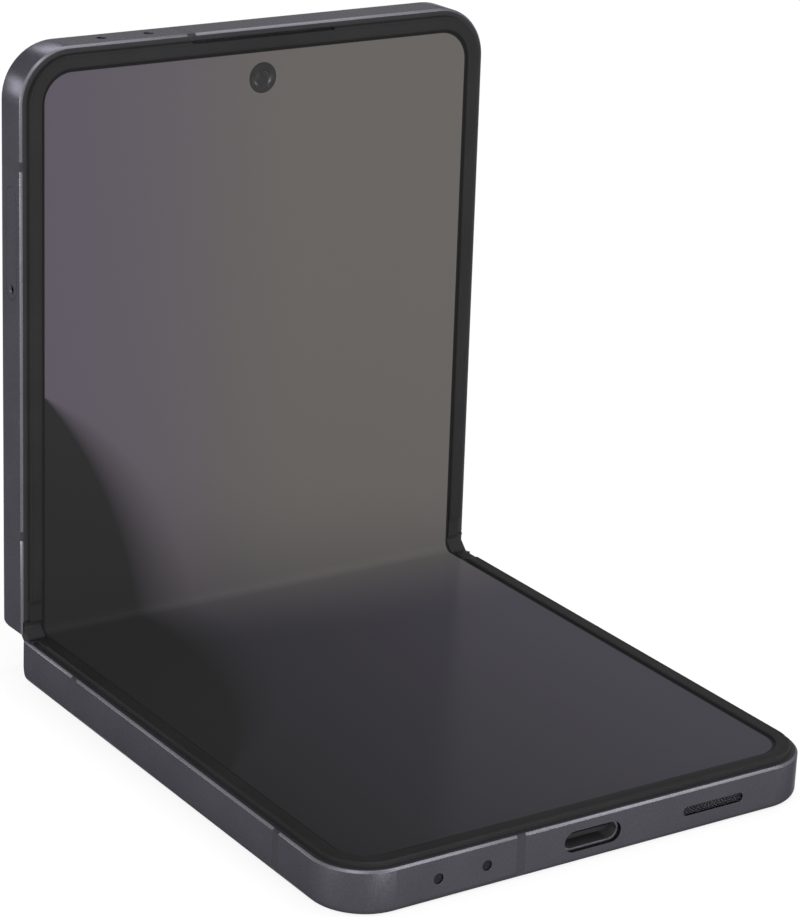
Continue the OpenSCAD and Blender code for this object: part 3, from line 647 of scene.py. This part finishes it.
def hingeEndCutter(place):
    # What lies outside a rounder back corner at the hinge end
    radius, end, back = frames["hingeEndRadius"], frames["hingeEnd"], -phone["thickness"]
    margin = frames["cutterMargin"]
    outline = [(end - margin, back - margin), (end + radius, back - margin)]
    for i in range(frames["hingeEndSteps"] + 1):
        a = math.radians(90 * i / frames["hingeEndSteps"])
        outline.append((end + radius * (1 - math.sin(a)), back + radius * (1 - math.cos(a))))
    outline.append((end - margin, back + radius))
    bm = bmesh.new()
    wide = frames["cutterHalf"]
    skinRings(bm, [[bm.verts.new((x, s, z)) for s, z in outline] for x in (-wide, wide)])
    return meshFrom(bm, "hingeEndCutter", place)


for half, place in halves:
    piece = softenedNode(half + "Frame", half + "_frame", half + "_half", frames["edgeRoll"],
        2, ["blastedAluminium", "paintedChamferHighlight"], cutter=hingeEndCutter(place))
    # The chamfer takes the second finish, a lighter metal that paints its highlight
    chamferHighlightFaces(piece.data, place)
    softenedNode(half + "Bands", half + "_bands", half + "_half", frames["edgeRoll"], 2,
        ["mouldedBand"])
for name, node, body in (("powerKey", "power_key", "power_button"),
        ("volumeKey", "volume_key", "volume_rocker")):
    softenedNode(name, node, body, frames["keyRoll"], 3, ["blastedAluminium"])

# The eject pin's hole in the tray has a sunk rim
tray = {
    "roll": 0.09, "holeAt": (49.8, -2.72), "mouth": 0.66, "neck": 0.42, "depth": 0.3,
    "cutterOut": 0.5, "steps": 32,
}
bm = bmesh.new()
lathedMesh(bm, [(0, -tray["depth"]), (tray["neck"], -tray["depth"]), (tray["mouth"], 0),
    (tray["mouth"], tray["cutterOut"]), (0, tray["cutterOut"])], (0, 0), steps=tray["steps"])
turn = Matrix.Translation((-phone["halfWidth"], *tray["holeAt"])) \
    @ Matrix.Rotation(-math.pi / 2, 4, "Y")
softenedNode("cardTray", "card_tray", "tray", tray["roll"], 2, ["blastedAluminium"],
    cutter=meshFrom(bm, "trayHoleCutter", upperPlace @ turn))
for side in ("left", "right"):
    softenedNode("cap" + side.capitalize(), "spine_cap_" + side, "hinge_spine",
        frames["capRoll"], 3, ["mouldedCap"])
print("frames, bands, keys and tray made")


bezel = {
    "height": 0.75, "tailHeight": 0.46, "tailIn": 0.1, "rampStart": 4.3, "rampEnd": 5.2,
    "outer": 1.0, "inner": 3.0, "crest": 1.26, "seat": 1.56, "skirt": 0.34, "groove": 0.06,
    "skirtTop": 0.065, "smoothAngle": 38,
    "slotHalf": 11.5, "slotOuter": 0.96, "slotInner": 1.3, "slotMiddle": 0.3, "slotTall": 2.0,
    "sides": [1.95, 3.2, 4.3, 4.42, 4.55, 4.68, 4.8, 4.92, 5.05, 5.2, 7.949, 7.951, 20, 40, 60,
        70, 75.4],
    "ends": [-28, -20, -12, -6, 0, 6, 12, 20, 28],
}


def bezelSection(s):
    # Up from the skirt, over the crest, down the slope and under; lower near the hinge
    t = min(max((s - bezel["rampStart"]) / (bezel["rampEnd"] - bezel["rampStart"]), 0), 1)
    t = t * t * (3 - 2 * t)
    top = bezel["tailHeight"] + (bezel["height"] - bezel["tailHeight"]) * t
    outer, inner = bezel["outer"] + bezel["tailIn"] * (1 - t), bezel["inner"]
    skirt, crest, seat = bezel["skirt"], bezel["crest"], bezel["seat"]
    under = 0.0 if s < phone["foldStart"] - 0.05 else phone["faceUp"]
    groove = bezel["groove"]
    rise = top - groove
    return [
        (skirt, 0.0), (skirt, 0.03), (skirt + 0.06, 0.055),
        (outer - 0.2, groove), (outer - 0.05, 0.05), (outer, 0.09),
        (outer + 0.03, groove + rise * 0.55), (outer + 0.07, groove + rise * 0.83),
        (outer + 0.14, top - 0.012), (crest, top), (crest + 0.10, top - 0.02 * t),
        (crest + 0.20, top - 0.05 * t), (crest + 0.36, top - 0.045 * t),
        (inner - 0.5, top - 0.02 * t), (inner - 0.2, top - 0.03 * t),
        (inner - 0.08, top - 0.08 * t), (inner - 0.01, top - 0.2 * t),
        (inner, under), (seat, under), (seat, 0.0),
    ]


for half, place in halves:
    mesh = sweptMesh(half + "Bezel", outlineStations(bezel["sides"], bezel["ends"]),
        bezelSection, place)
    if half == "upper":
        # The earpiece's slot is cut along the ridge's outer side
        cutter = bmesh.new()
        bmesh.ops.create_cube(cutter, size=1)
        middle = phone["halfLength"] - (bezel["slotOuter"] + bezel["slotInner"]) / 2
        bmesh.ops.transform(cutter, verts=cutter.verts, matrix=Matrix.Translation(
            (0, middle, bezel["slotMiddle"])) @ Matrix.Diagonal((2 * bezel["slotHalf"],
            bezel["slotInner"] - bezel["slotOuter"], bezel["slotTall"], 1)))
        whole = linked("wholeBezel", mesh)
        cutAway(whole, meshFrom(cutter, "slotCutter", place))
        mesh = whole.data
        bpy.data.objects.remove(whole)
    smoothShade(mesh, bezel["smoothAngle"])
    piece = addPiece(half + "Bezel", mesh, half + "_half", [half + "_bezel"], "mouldedBezel",
        "bezelSkirt")
    back = place.inverted()
    for face in piece.data.polygons:
        if (back @ face.center).z < bezel["skirtTop"]:
            face.material_index = 1
print("bezels made")


bend = {
    "radius": 1.5,         # mm, of the face at rest
    "halfWidth": 34.5, "arcSteps": 14, "flatSteps": 5, "smoothAngle": 30,
    "farOut": 1.15, "farUp": 1.02,   # the far point given to bendPiece, as shares of the bend's end
}


def setScreenMap(mesh, mapOf):
    # The picture runs over the whole display: u across it, v from the lower end to the upper
    layer = mesh.uv_layers.new(name="UVMap")
    for loop in mesh.loops:
        x, s = mapOf(mesh.vertices[loop.vertex_index].co)
        layer.data[loop.index].uv = (0.5 + x / picture["width"],
            0.5 + s / (2 * picture["width"]))


for half, place in halves:
    mesh = mergedCopy(half + "_display", half + "Screen")
    back, sign = place.inverted(), spineSign[half]
    setScreenMap(mesh, lambda co: ((back @ co).x, sign * (back @ co).y))
    smoothShade(mesh, bend["smoothAngle"])
    addPiece(half + "Screen", mesh, half + "_half", [half + "_display"], "litFilmScreen")


def fromHalf(y, z):
    # A point of a half's own frame, seen from the flat spine, on its upper side
    dy, dz = y - phone["axisOut"], z - phone["axisUp"]
    return Vector((phone["axisOut"] + dy * math.cos(halfFold) - dz * math.sin(halfFold),
        phone["axisUp"] + dy * math.sin(halfFold) + dz * math.cos(halfFold)))


def bendPath(depth):
    # (y, z) points from the rigid stretch to the middle of the bend
    up, out, face = phone["axisUp"], phone["axisOut"], phone["faceUp"]
    vertex = up - (up - face) / math.cos(halfFold) - out * math.tan(halfFold)
    middle = vertex + bend["radius"] / math.cos(halfFold)
    radius = bend["radius"] + depth
    tangent = Vector((radius * math.sin(halfFold), middle - radius * math.cos(halfFold)))
    reach = fromHalf(phone["foldStart"], face - depth)
    path = [reach.lerp(tangent, i / bend["flatSteps"]) for i in range(bend["flatSteps"])]
    for i in range(bend["arcSteps"] + 1):
        a = halfFold * (1 - i / bend["arcSteps"])
        path.append(Vector((radius * math.sin(a), middle - radius * math.cos(a))))
    return path


facePath, backPath = bendPath(0), bendPath(phone["displayThickness"])
lengths = [0.0]
for a, b in zip(facePath, facePath[1:]):
    lengths.append(lengths[-1] + (b - a).length)
remaining = [phone["foldStart"] * (1 - run / lengths[-1]) for run in lengths]


def foldMap(co):
    # The nearest station of the bend tells how far its middle is along the display
    spot = spinePlace.inverted() @ co
    here = Vector((abs(spot.y), spot.z))
    best = min(range(len(facePath)), key=lambda i: min((facePath[i] - here).length,
        (backPath[i] - here).length))
    return spot.x, math.copysign(remaining[best], spot.y)


def stripRing(halfWidth, front, rear):
    return [(x * halfWidth, *spot) for x, spot in ((-1, front), (1, front), (1, rear),
        (-1, rear))]


def bendPiece(name, half, rings, far, near, nodes, finishName, angle=bend["smoothAngle"],
        mapOf=None, slot=None):
    # Rings drawn on the spine's upper side and stood in the spine's place; far and near are
    # worked out as points, but the piece stays fixed and follows neither the half nor the spine
    sign = spineSign[half]
    bm = bmesh.new()
    skinRings(bm, [[bm.verts.new((x, sign * y, z)) for x, y, z in ring] for ring in rings])
    mesh = meshFrom(bm, name, spinePlace)
    if mapOf:
        setScreenMap(mesh, mapOf)
    smoothShade(mesh, angle)
    piece = addPiece(name, mesh, None, nodes, finishName, slot=slot)
    far, near = (spinePlace @ Vector((0, sign * y, z)) for y, z in (far, near))
    if half == "lower":
        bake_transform(piece)
    else:
        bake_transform(piece)


tangentAt = facePath[bend["flatSteps"]]
for half in ("lower", "upper"):
    bendPiece(half + "Fold", half, [stripRing(bend["halfWidth"], front, rear)
        for front, rear in zip(facePath, backPath)],
        (tangentAt.x * bend["farOut"], tangentAt.y * bend["farUp"]), (0, facePath[-1].y),
        ["display_fold"], "litFilmScreen", mapOf=foldMap)

# The ribbon cable under the bend: straight along each half, rounded at the middle
ribbon = {
    "halfWidth": 3.0, "thickness": 0.12,
    "straight": [(9.42, 7.01), (8.1, 5.71), (6.7, 4.33), (5.36, 3.01), (4.4, 2.18),
        (3.4, 1.32), (2.4, 0.46)],
    "clampedTo": (5.36, 3.01),
    "turnAt": (1.0, -0.74), "middle": (0.0, -0.74), "steps": 10,
}
path = [Vector(spot) for spot in ribbon["straight"]]
first, turn, last = path[-1], Vector(ribbon["turnAt"]), Vector(ribbon["middle"])
for i in range(1, ribbon["steps"] + 1):
    t = i / ribbon["steps"]
    path.append(first * (1 - t) ** 2 + turn * 2 * t * (1 - t) + last * t * t)
rings = []
for i, spot in enumerate(path):
    ahead = path[min(i + 1, len(path) - 1)] - path[max(i - 1, 0)]
    if spot == last:
        ahead = Vector((-1, 0))
    side = Vector((-ahead.y, ahead.x)).normalized() * ribbon["thickness"] / 2
    rings.append(stripRing(ribbon["halfWidth"], spot + side, spot - side))
for half in ("lower", "upper"):
    bendPiece(half + "Ribbon", half, rings, ribbon["clampedTo"], (0, last.y),
        ["hinge_flex"], "polyimideFilm")
print("display and ribbon cable made")


# Soft lips close the gap between each bezel's end and the caps
seal = {
    "inner": 34.62, "outer": 37.22,      # mm across, as the bezel's end
    "capEdge": (0.86, 0.60), "tailEnd": (2.05, 0.40),
    "thickness": 0.30, "steps": 8, "sag": 0.10, "crown": 0.03, "crownIn": 0.1,
}
tail, cap = fromHalf(*seal["tailEnd"]), Vector(seal["capEdge"])
along = (tail - cap).normalized()
out = Vector((-along.y, along.x))
section = (
    (seal["inner"], 0), (seal["inner"] + seal["crownIn"], -seal["crown"]),
    (seal["outer"] - seal["crownIn"], -seal["crown"]), (seal["outer"], 0),
    (seal["outer"], seal["thickness"]), (seal["inner"], seal["thickness"]),
)
for half in ("lower", "upper"):
    for side, word in ((-1, "Left"), (1, "Right")):
        rings = []
        for i in range(seal["steps"] + 1):
            t = i / seal["steps"]
            front = cap.lerp(tail, t) - out * seal["sag"] * math.sin(math.pi * t)
            rings.append([(side * x, *(front - out * depth)) for x, depth in section])
        bendPiece(half + "Seal" + word, half, rings, tail, cap, [], "mouldedCap", angle=40,
            slot="cap_plastic")


def lathedPiece(name, profiles, body, nodes, *materialNames, slot=None, angle=28, steps=48,
        turn=Matrix.Identity(4)):
    # profiles: (centre, list of (radius, height, material number))
    bm = bmesh.new()
    for centre, profile in profiles:
        lathedMesh(bm, [(r, z) for r, z, _ in profile], centre, steps=steps,
            bands=[band for _, _, band in profile])
    mesh = meshFrom(bm, name, placeOf.get(body, upperPlace) @ turn)
    smoothShade(mesh, angle)
    return addPiece(name, mesh, body, nodes, *materialNames, slot=slot)


punch = {
    "s": 76.3, "top": 0.355, "bottom": 0.06,
    # radius, depth below the top, material number: rim, slope, iris and pupil
    "rings": [(2.19, 0.03, 0), (2.15, 0, 0), (1.95, 0, 1), (1.83, 0.015, 1), (1.18, 0.02, 0),
        (1.12, 0.05, 2), (1.02, 0.09, 2), (0.82, 0.06, 2), (0.58, 0.035, 2),
        (0.42, 0.025, 3), (0.22, 0.015, 3), (0, 0.012, 3)],
}
lathedPiece("frontCameraWindow", [((0, punch["s"]), [(0, punch["bottom"], 0),
    (punch["rings"][0][0], punch["bottom"], 0)] + [(radius, punch["top"] - depth, band)
    for radius, depth, band in punch["rings"]])], "upper_half", ["front_camera_window"],
    "inkedWindow", "inkedWindow", "coatedLens", "coatedLens")

lens = {
    "s": 69.4, "x": (26.0, 11.0), "face": -6.75, "seat": -6.20, "edge": 0.06,
    "glass": 5.46, "aperture": 3.55, "lip": 0.10, "recess": 0.07, "gap": 0.02,
    "stepCount": 5, "stepWidth": 0.26, "stepDepth": 0.06,
    "dome": 2.1, "domeRise": 0.30, "domeStep": 10,
}


def lensProfile():
    # Flat glass, then a barrel that steps in and down to a domed front lens
    face, seat, edge = lens["face"], lens["seat"], lens["edge"]
    radius, height = lens["aperture"], face + lens["recess"]
    profile = [(0, seat, 0), (lens["glass"], seat, 0), (lens["glass"], face + edge, 0),
        (lens["glass"] - edge, face, 0), (radius + lens["lip"], face, 1), (radius, height, 1)]
    radius -= lens["gap"]
    for _ in range(lens["stepCount"]):
        height += lens["stepDepth"]
        profile += [(radius, height, 1), (radius - lens["stepWidth"], height, 1)]
        radius -= lens["stepWidth"] + lens["gap"] / 2
    height += lens["gap"]
    for degrees in range(0, 90, lens["domeStep"]):
        a = math.radians(degrees)
        profile.append((lens["dome"] * math.cos(a), height - lens["domeRise"] * math.sin(a), 2))
    return profile + [(0, height - lens["domeRise"], 2)]


lathedPiece("cameraLenses", [((x, lens["s"]), lensProfile()) for x in lens["x"]],
    "upper_half", ["camera_windows"], "polishedCoverGlass", "lensBarrel", "coatedLens",
    angle=35)

flash = {
    "x": -0.5, "s": 69.4, "radius": 2.16, "face": -6.15, "seat": -5.25, "edge": 0.05,
    "ridges": 5, "firstRidge": 0.12, "middle": 0.45, "pip": ((0.26, 0.02), (0.16, 0), (0, 0)),
    # share of a ridge's width, depth
    "ridge": ((0, 0.01), (0.2, 0.12), (0.9, 0.02)),
}
profile = [(0, flash["seat"], 0), (flash["radius"], flash["seat"], 0),
    (flash["radius"], flash["face"] + flash["edge"], 0),
    (flash["radius"] - flash["edge"], flash["face"], 0)]
step = (flash["radius"] - flash["middle"]) / flash["ridges"]
for i in range(flash["ridges"]):
    outer = flash["radius"] - flash["firstRidge"] - i * step
    profile += [(outer - share * step, flash["face"] + depth, 0)
        for share, depth in flash["ridge"]]
profile += [(radius, flash["face"] + depth, 0) for radius, depth in flash["pip"]]
lathedPiece("flashLens", [((flash["x"], flash["s"]), profile)], "upper_half", ["flash_lens"],
    "flashDiffuser")
print("seals, windows and lenses made")


socketKinds = {"Count": "NodeSocketInt", "Material": "NodeSocketMaterial"}


def startTree(name, *labels):
    # A tree with one input for each size, and one for its material
    tree = bpy.data.node_groups.new(name, "GeometryNodeTree")
    tree.interface.new_socket("Geometry", in_out="OUTPUT", socket_type="NodeSocketGeometry")
    for label in (*labels, "Material"):
        tree.interface.new_socket(label, in_out="INPUT",
            socket_type=socketKinds.get(label, "NodeSocketFloat"))
    return tree, addNode(tree, "NodeGroupInput").outputs


def endTree(tree, geometry, material):
    real = addNode(tree, "GeometryNodeRealizeInstances", {0: geometry})
    painted = addNode(tree, "GeometryNodeSetMaterial", {0: real, "Material": material})
    addNode(tree, "NodeGroupOutput", {0: painted})
    return tree


def centredRow(tree, gaps, count, pitch, axis):
    # Points along an axis, half of them on each side of the middle
    first = addNode(tree, "ShaderNodeMath", {0: gaps, 1: pitch}, operation="MULTIPLY")
    first = addNode(tree, "ShaderNodeMath", {0: first, 1: -0.5}, operation="MULTIPLY")
    return addNode(tree, "GeometryNodeMeshLine", {"Count": count,
        "Start Location": addNode(tree, "ShaderNodeCombineXYZ", {axis: first}),
        "Offset": addNode(tree, "ShaderNodeCombineXYZ", {axis: pitch})})


def grownPiece(name, tree, sizes, body, nodes, finishName, at, outward, angle=80, slot=None):
    # Runs a tree on its sizes, and stands its flat mesh up so that it looks out along "outward"
    carrier = linked(tree.name, bpy.data.meshes.new(tree.name))
    modifier = carrier.modifiers.new("grow", "NODES")
    modifier.node_group = tree
    for item in tree.interface.items_tree:
        if item.name == "Material":
            modifier[item.identifier] = finishes[finishName]
        elif item.in_out == "INPUT":
            size = sizes[item.name.lower()]
            modifier[item.identifier] = size if item.name in ("Count", "Turns") else size * mm
    bm = bmesh.new()
    bm.from_mesh(settled(carrier).data)
    bpy.data.objects.remove(carrier)
    across, normal = Vector((1, 0, 0)), Vector(outward)
    turn = Matrix((across, normal.cross(across), normal)).transposed().to_4x4()
    mesh = meshFrom(bm, tree.name, placeOf.get(body, upperPlace) @ Matrix.Translation(at)
        @ turn @ Matrix.Scale(1 / mm, 4))
    smoothShade(mesh, angle)
    addPiece(name, mesh, body, nodes, finishName, slot=slot)


def wovenTree():
    # Two sets of wavy wires, each over and under the other
    tree, given = startTree("wovenWire", "Width", "Height", "Pitch", "Wire")

    pitch, radius = given["Pitch"], given["Wire"]

    def wires(long, wide, turned, lift):
        half = addNode(tree, "ShaderNodeMath", {0: long, 1: 0.5}, operation="MULTIPLY")
        far = addNode(tree, "ShaderNodeCombineXYZ", {0: half})
        near = addNode(tree, "ShaderNodeVectorMath", {0: far, 1: (-1, -1, -1)},
            operation="MULTIPLY")
        line = addNode(tree, "GeometryNodeCurvePrimitiveLine", {"Start": near, "End": far})
        waves = addNode(tree, "ShaderNodeMath", {0: long, 1: pitch}, operation="DIVIDE")
        steps = addNode(tree, "ShaderNodeMath", {0: waves, 1: 2.0, 2: 1.0},
            operation="MULTIPLY_ADD")
        line = addNode(tree, "GeometryNodeResampleCurve", {0: line, "Count": steps})
        spot = addNode(tree, "ShaderNodeSeparateXYZ",
            {0: addNode(tree, "GeometryNodeInputPosition")})
        turn = addNode(tree, "ShaderNodeMath", {0: spot, 1: pitch}, operation="DIVIDE")
        turn = addNode(tree, "ShaderNodeMath", {0: turn, 1: math.pi}, operation="MULTIPLY")
        wave = addNode(tree, "ShaderNodeMath", {0: turn}, operation="COSINE")
        tall = addNode(tree, "ShaderNodeMath", {0: radius, 1: lift}, operation="MULTIPLY")
        wave = addNode(tree, "ShaderNodeMath", {0: wave, 1: tall}, operation="MULTIPLY")
        wavy = addNode(tree, "GeometryNodeSetPosition", {0: line,
            "Offset": addNode(tree, "ShaderNodeCombineXYZ", {2: wave})})
        ring = addNode(tree, "GeometryNodeCurvePrimitiveCircle", {"Resolution": 6,
            "Radius": radius})
        wire = addNode(tree, "GeometryNodeCurveToMesh", {0: wavy, 1: ring, "Fill Caps": True})
        gaps = addNode(tree, "ShaderNodeMath", {0: wide, 1: pitch}, operation="DIVIDE")
        gaps = addNode(tree, "ShaderNodeMath", {0: gaps}, operation="FLOOR")
        count = addNode(tree, "ShaderNodeMath", {0: gaps, 1: 1.0}, operation="ADD")
        rows = centredRow(tree, gaps, count, pitch, axis=1)
        odd = addNode(tree, "ShaderNodeMath", {0: addNode(tree, "GeometryNodeInputIndex"),
            1: 2.0}, operation="MODULO")
        flip = addNode(tree, "ShaderNodeMath", {0: odd, 1: math.pi}, operation="MULTIPLY")
        placed = addNode(tree, "GeometryNodeInstanceOnPoints", {"Points": rows,
            "Instance": wire, "Rotation": addNode(tree, "ShaderNodeCombineXYZ", {0: flip})})
        return addNode(tree, "GeometryNodeTransform", {0: placed,
            "Rotation": (0, 0, math.pi / 2 if turned else 0)}).outputs[0]

    both = addNode(tree, "GeometryNodeJoinGeometry")
    tree.links.new(wires(given["Width"], given["Height"], False, 1.0), both.inputs[0])
    tree.links.new(wires(given["Height"], given["Width"], True, -1.0), both.inputs[0])
    return endTree(tree, both, given["Material"])


padFillet = 0.35    # corner radius as a share of a pad's width


def padRowTree():
    # Flat pads with rounded corners in a straight row
    tree, given = startTree("padRow", "Count", "Pitch", "Width", "Length", "Thickness")
    shape = addNode(tree, "GeometryNodeCurvePrimitiveQuadrilateral", {
        "Width": given["Width"], "Height": given["Length"]})
    fillet = addNode(tree, "ShaderNodeMath", {0: given["Width"], 1: padFillet},
        operation="MULTIPLY")
    rounded = addNode(tree, "GeometryNodeFilletCurve", {0: shape, "Radius": fillet,
        "Count": 3, "Limit Radius": True}, mode="POLY")
    filled = addNode(tree, "GeometryNodeFillCurve", {0: rounded}, mode="NGONS")
    raised = addNode(tree, "GeometryNodeExtrudeMesh", {0: filled,
        "Offset Scale": given["Thickness"]}, mode="FACES")
    closed = addNode(tree, "GeometryNodeJoinGeometry")
    tree.links.new(raised.outputs[0], closed.inputs[0])
    tree.links.new(addNode(tree, "GeometryNodeFlipFaces", {0: filled}).outputs[0],
        closed.inputs[0])
    pad = addNode(tree, "GeometryNodeMergeByDistance", {0: closed, "Distance": 1e-6})
    gaps = addNode(tree, "ShaderNodeMath", {0: given["Count"], 1: 1.0}, operation="SUBTRACT")
    rows = centredRow(tree, gaps, given["Count"], given["Pitch"], axis=0)
    placed = addNode(tree, "GeometryNodeInstanceOnPoints", {"Points": rows, "Instance": pad})
    return endTree(tree, placed, given["Material"])


def coilTree():
    # One flat spiral of round wire
    tree, given = startTree("flatCoil", "Turns", "Inner", "Outer", "Wire")
    spiral = addNode(tree, "GeometryNodeCurveSpiral", {"Resolution": 48,
        "Rotations": given["Turns"], "Start Radius": given["Inner"],
        "End Radius": given["Outer"], "Height": 0.0})
    ring = addNode(tree, "GeometryNodeCurvePrimitiveCircle", {"Resolution": 8,
        "Radius": given["Wire"]})
    wire = addNode(tree, "GeometryNodeCurveToMesh", {0: spiral, 1: ring, "Fill Caps": True})
    return endTree(tree, wire, given["Material"])


# Real mesh has 0.1 mm threads; these are thicker so that they show
meshes = {
    "speaker": {"body": "lower_half", "width": 9.7, "height": 1.2, "pitch": 0.24,
        "wire": 0.062, "outward": (0, 1, 0),
        "at": (19.5, phone["halfLength"] - 0.42, -phone["middleDepth"])},
    "earpiece": {"body": "upper_half", "width": 22.8, "height": 0.32, "pitch": 0.16,
        "wire": 0.05, "outward": (0, 0, 1), "at": (0, 82.27, -0.12)},
}
woven = wovenTree()
for name, sizes in meshes.items():
    grownPiece(name + "Mesh", woven, sizes, sizes["body"], [name + "_mesh"], "blackWire",
        sizes["at"], sizes["outward"])

contacts = {"count": 12, "pitch": 0.5, "width": 0.3, "length": 4.6, "thickness": 0.07,
    "s": 78.9, "tongueHalf": 0.35}
pads = padRowTree()
for name, side in (("contactsAbove", 1), ("contactsBelow", -1)):
    height = -phone["middleDepth"] + side * contacts["tongueHalf"]
    grownPiece(name, pads, contacts, "lower_half", [], "goldPlate", (0, contacts["s"], height),
        (0, 0, side), angle=30, slot="plated_steel")

coil = {"s": 34.0, "depth": -5.35, "turns": 18.0, "inner": 10.8, "outer": 19.7, "wire": 0.17}
grownPiece("chargingCoil", coilTree(), coil, "lower_half", ["charging_coil"],
    "enamelledCopper", (0, coil["s"], coil["depth"]), (0, 0, -1))

# Felt discs close the microphones' holes, facing out of the half's end
felt = {
    "x": (-23.7, -16.4), "radius": 0.715, "sink": 0.2, "thickness": 0.3, "edge": 0.04,
    # radius, depth below the rim
    "dish": ((0.3, 0.05), (0, 0.06)),
}
profile = [(0, 0, 0), (felt["radius"], 0, 0),
    (felt["radius"], felt["thickness"] - felt["edge"], 0),
    (felt["radius"] - felt["edge"], felt["thickness"], 0)]
profile += [(radius, felt["thickness"] - depth, 0) for radius, depth in felt["dish"]]
turn = Matrix.Translation((0, phone["halfLength"] - felt["sink"] - felt["thickness"],
    -phone["middleDepth"])) @ Matrix.Rotation(-math.pi / 2, 4, "X")
for half in ("lower", "upper"):
    lathedPiece(half + "MicFelt", [((x, 0), profile) for x in felt["x"]], half + "_half", [],
        "pressedFelt", slot="module_plastic", angle=40, steps=24, turn=turn)
print("meshes, contacts, coil and felts made")


rolled = [
    # node, body, radius in mm
    ("spine_shell", "hinge_spine", 0.10), ("lower_back_glass", "lower_half", 0.16),
    ("cover_glass", "upper_half", 0.16), ("camera_ring_outer", "upper_half", 0.12),
    ("camera_ring_inner", "upper_half", 0.12), ("socket_shell", "lower_half", 0.06),
    ("socket_tongue", "lower_half", 0.12), ("lower_battery", "lower_half", 0.5),
    ("upper_battery", "upper_half", 0.5), ("loudspeaker", "lower_half", 0.3),
    ("receiver", "upper_half", 0.25), ("haptic_motor", "lower_half", 0.3),
    ("shield_can", "upper_half", 0.15), ("camera_outer", "upper_half", 0.2),
    ("camera_inner", "upper_half", 0.2), ("front_camera", "upper_half", 0.2),
    ("card_reader", "upper_half", 0.08),
]
for node, body, radius in rolled:
    words = (node + "_piece").split("_")
    name = words[0] + "".join(word.capitalize() for word in words[1:])
    softenedNode(name, node, body, radius, 2, [nodeFinish.get(node, slotFinish[slotOf[node]])])
print("rolled edges made")


sizes = {"cad": [list(corner) for corner in cadBox],
    "visual": [list(corner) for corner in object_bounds()]}
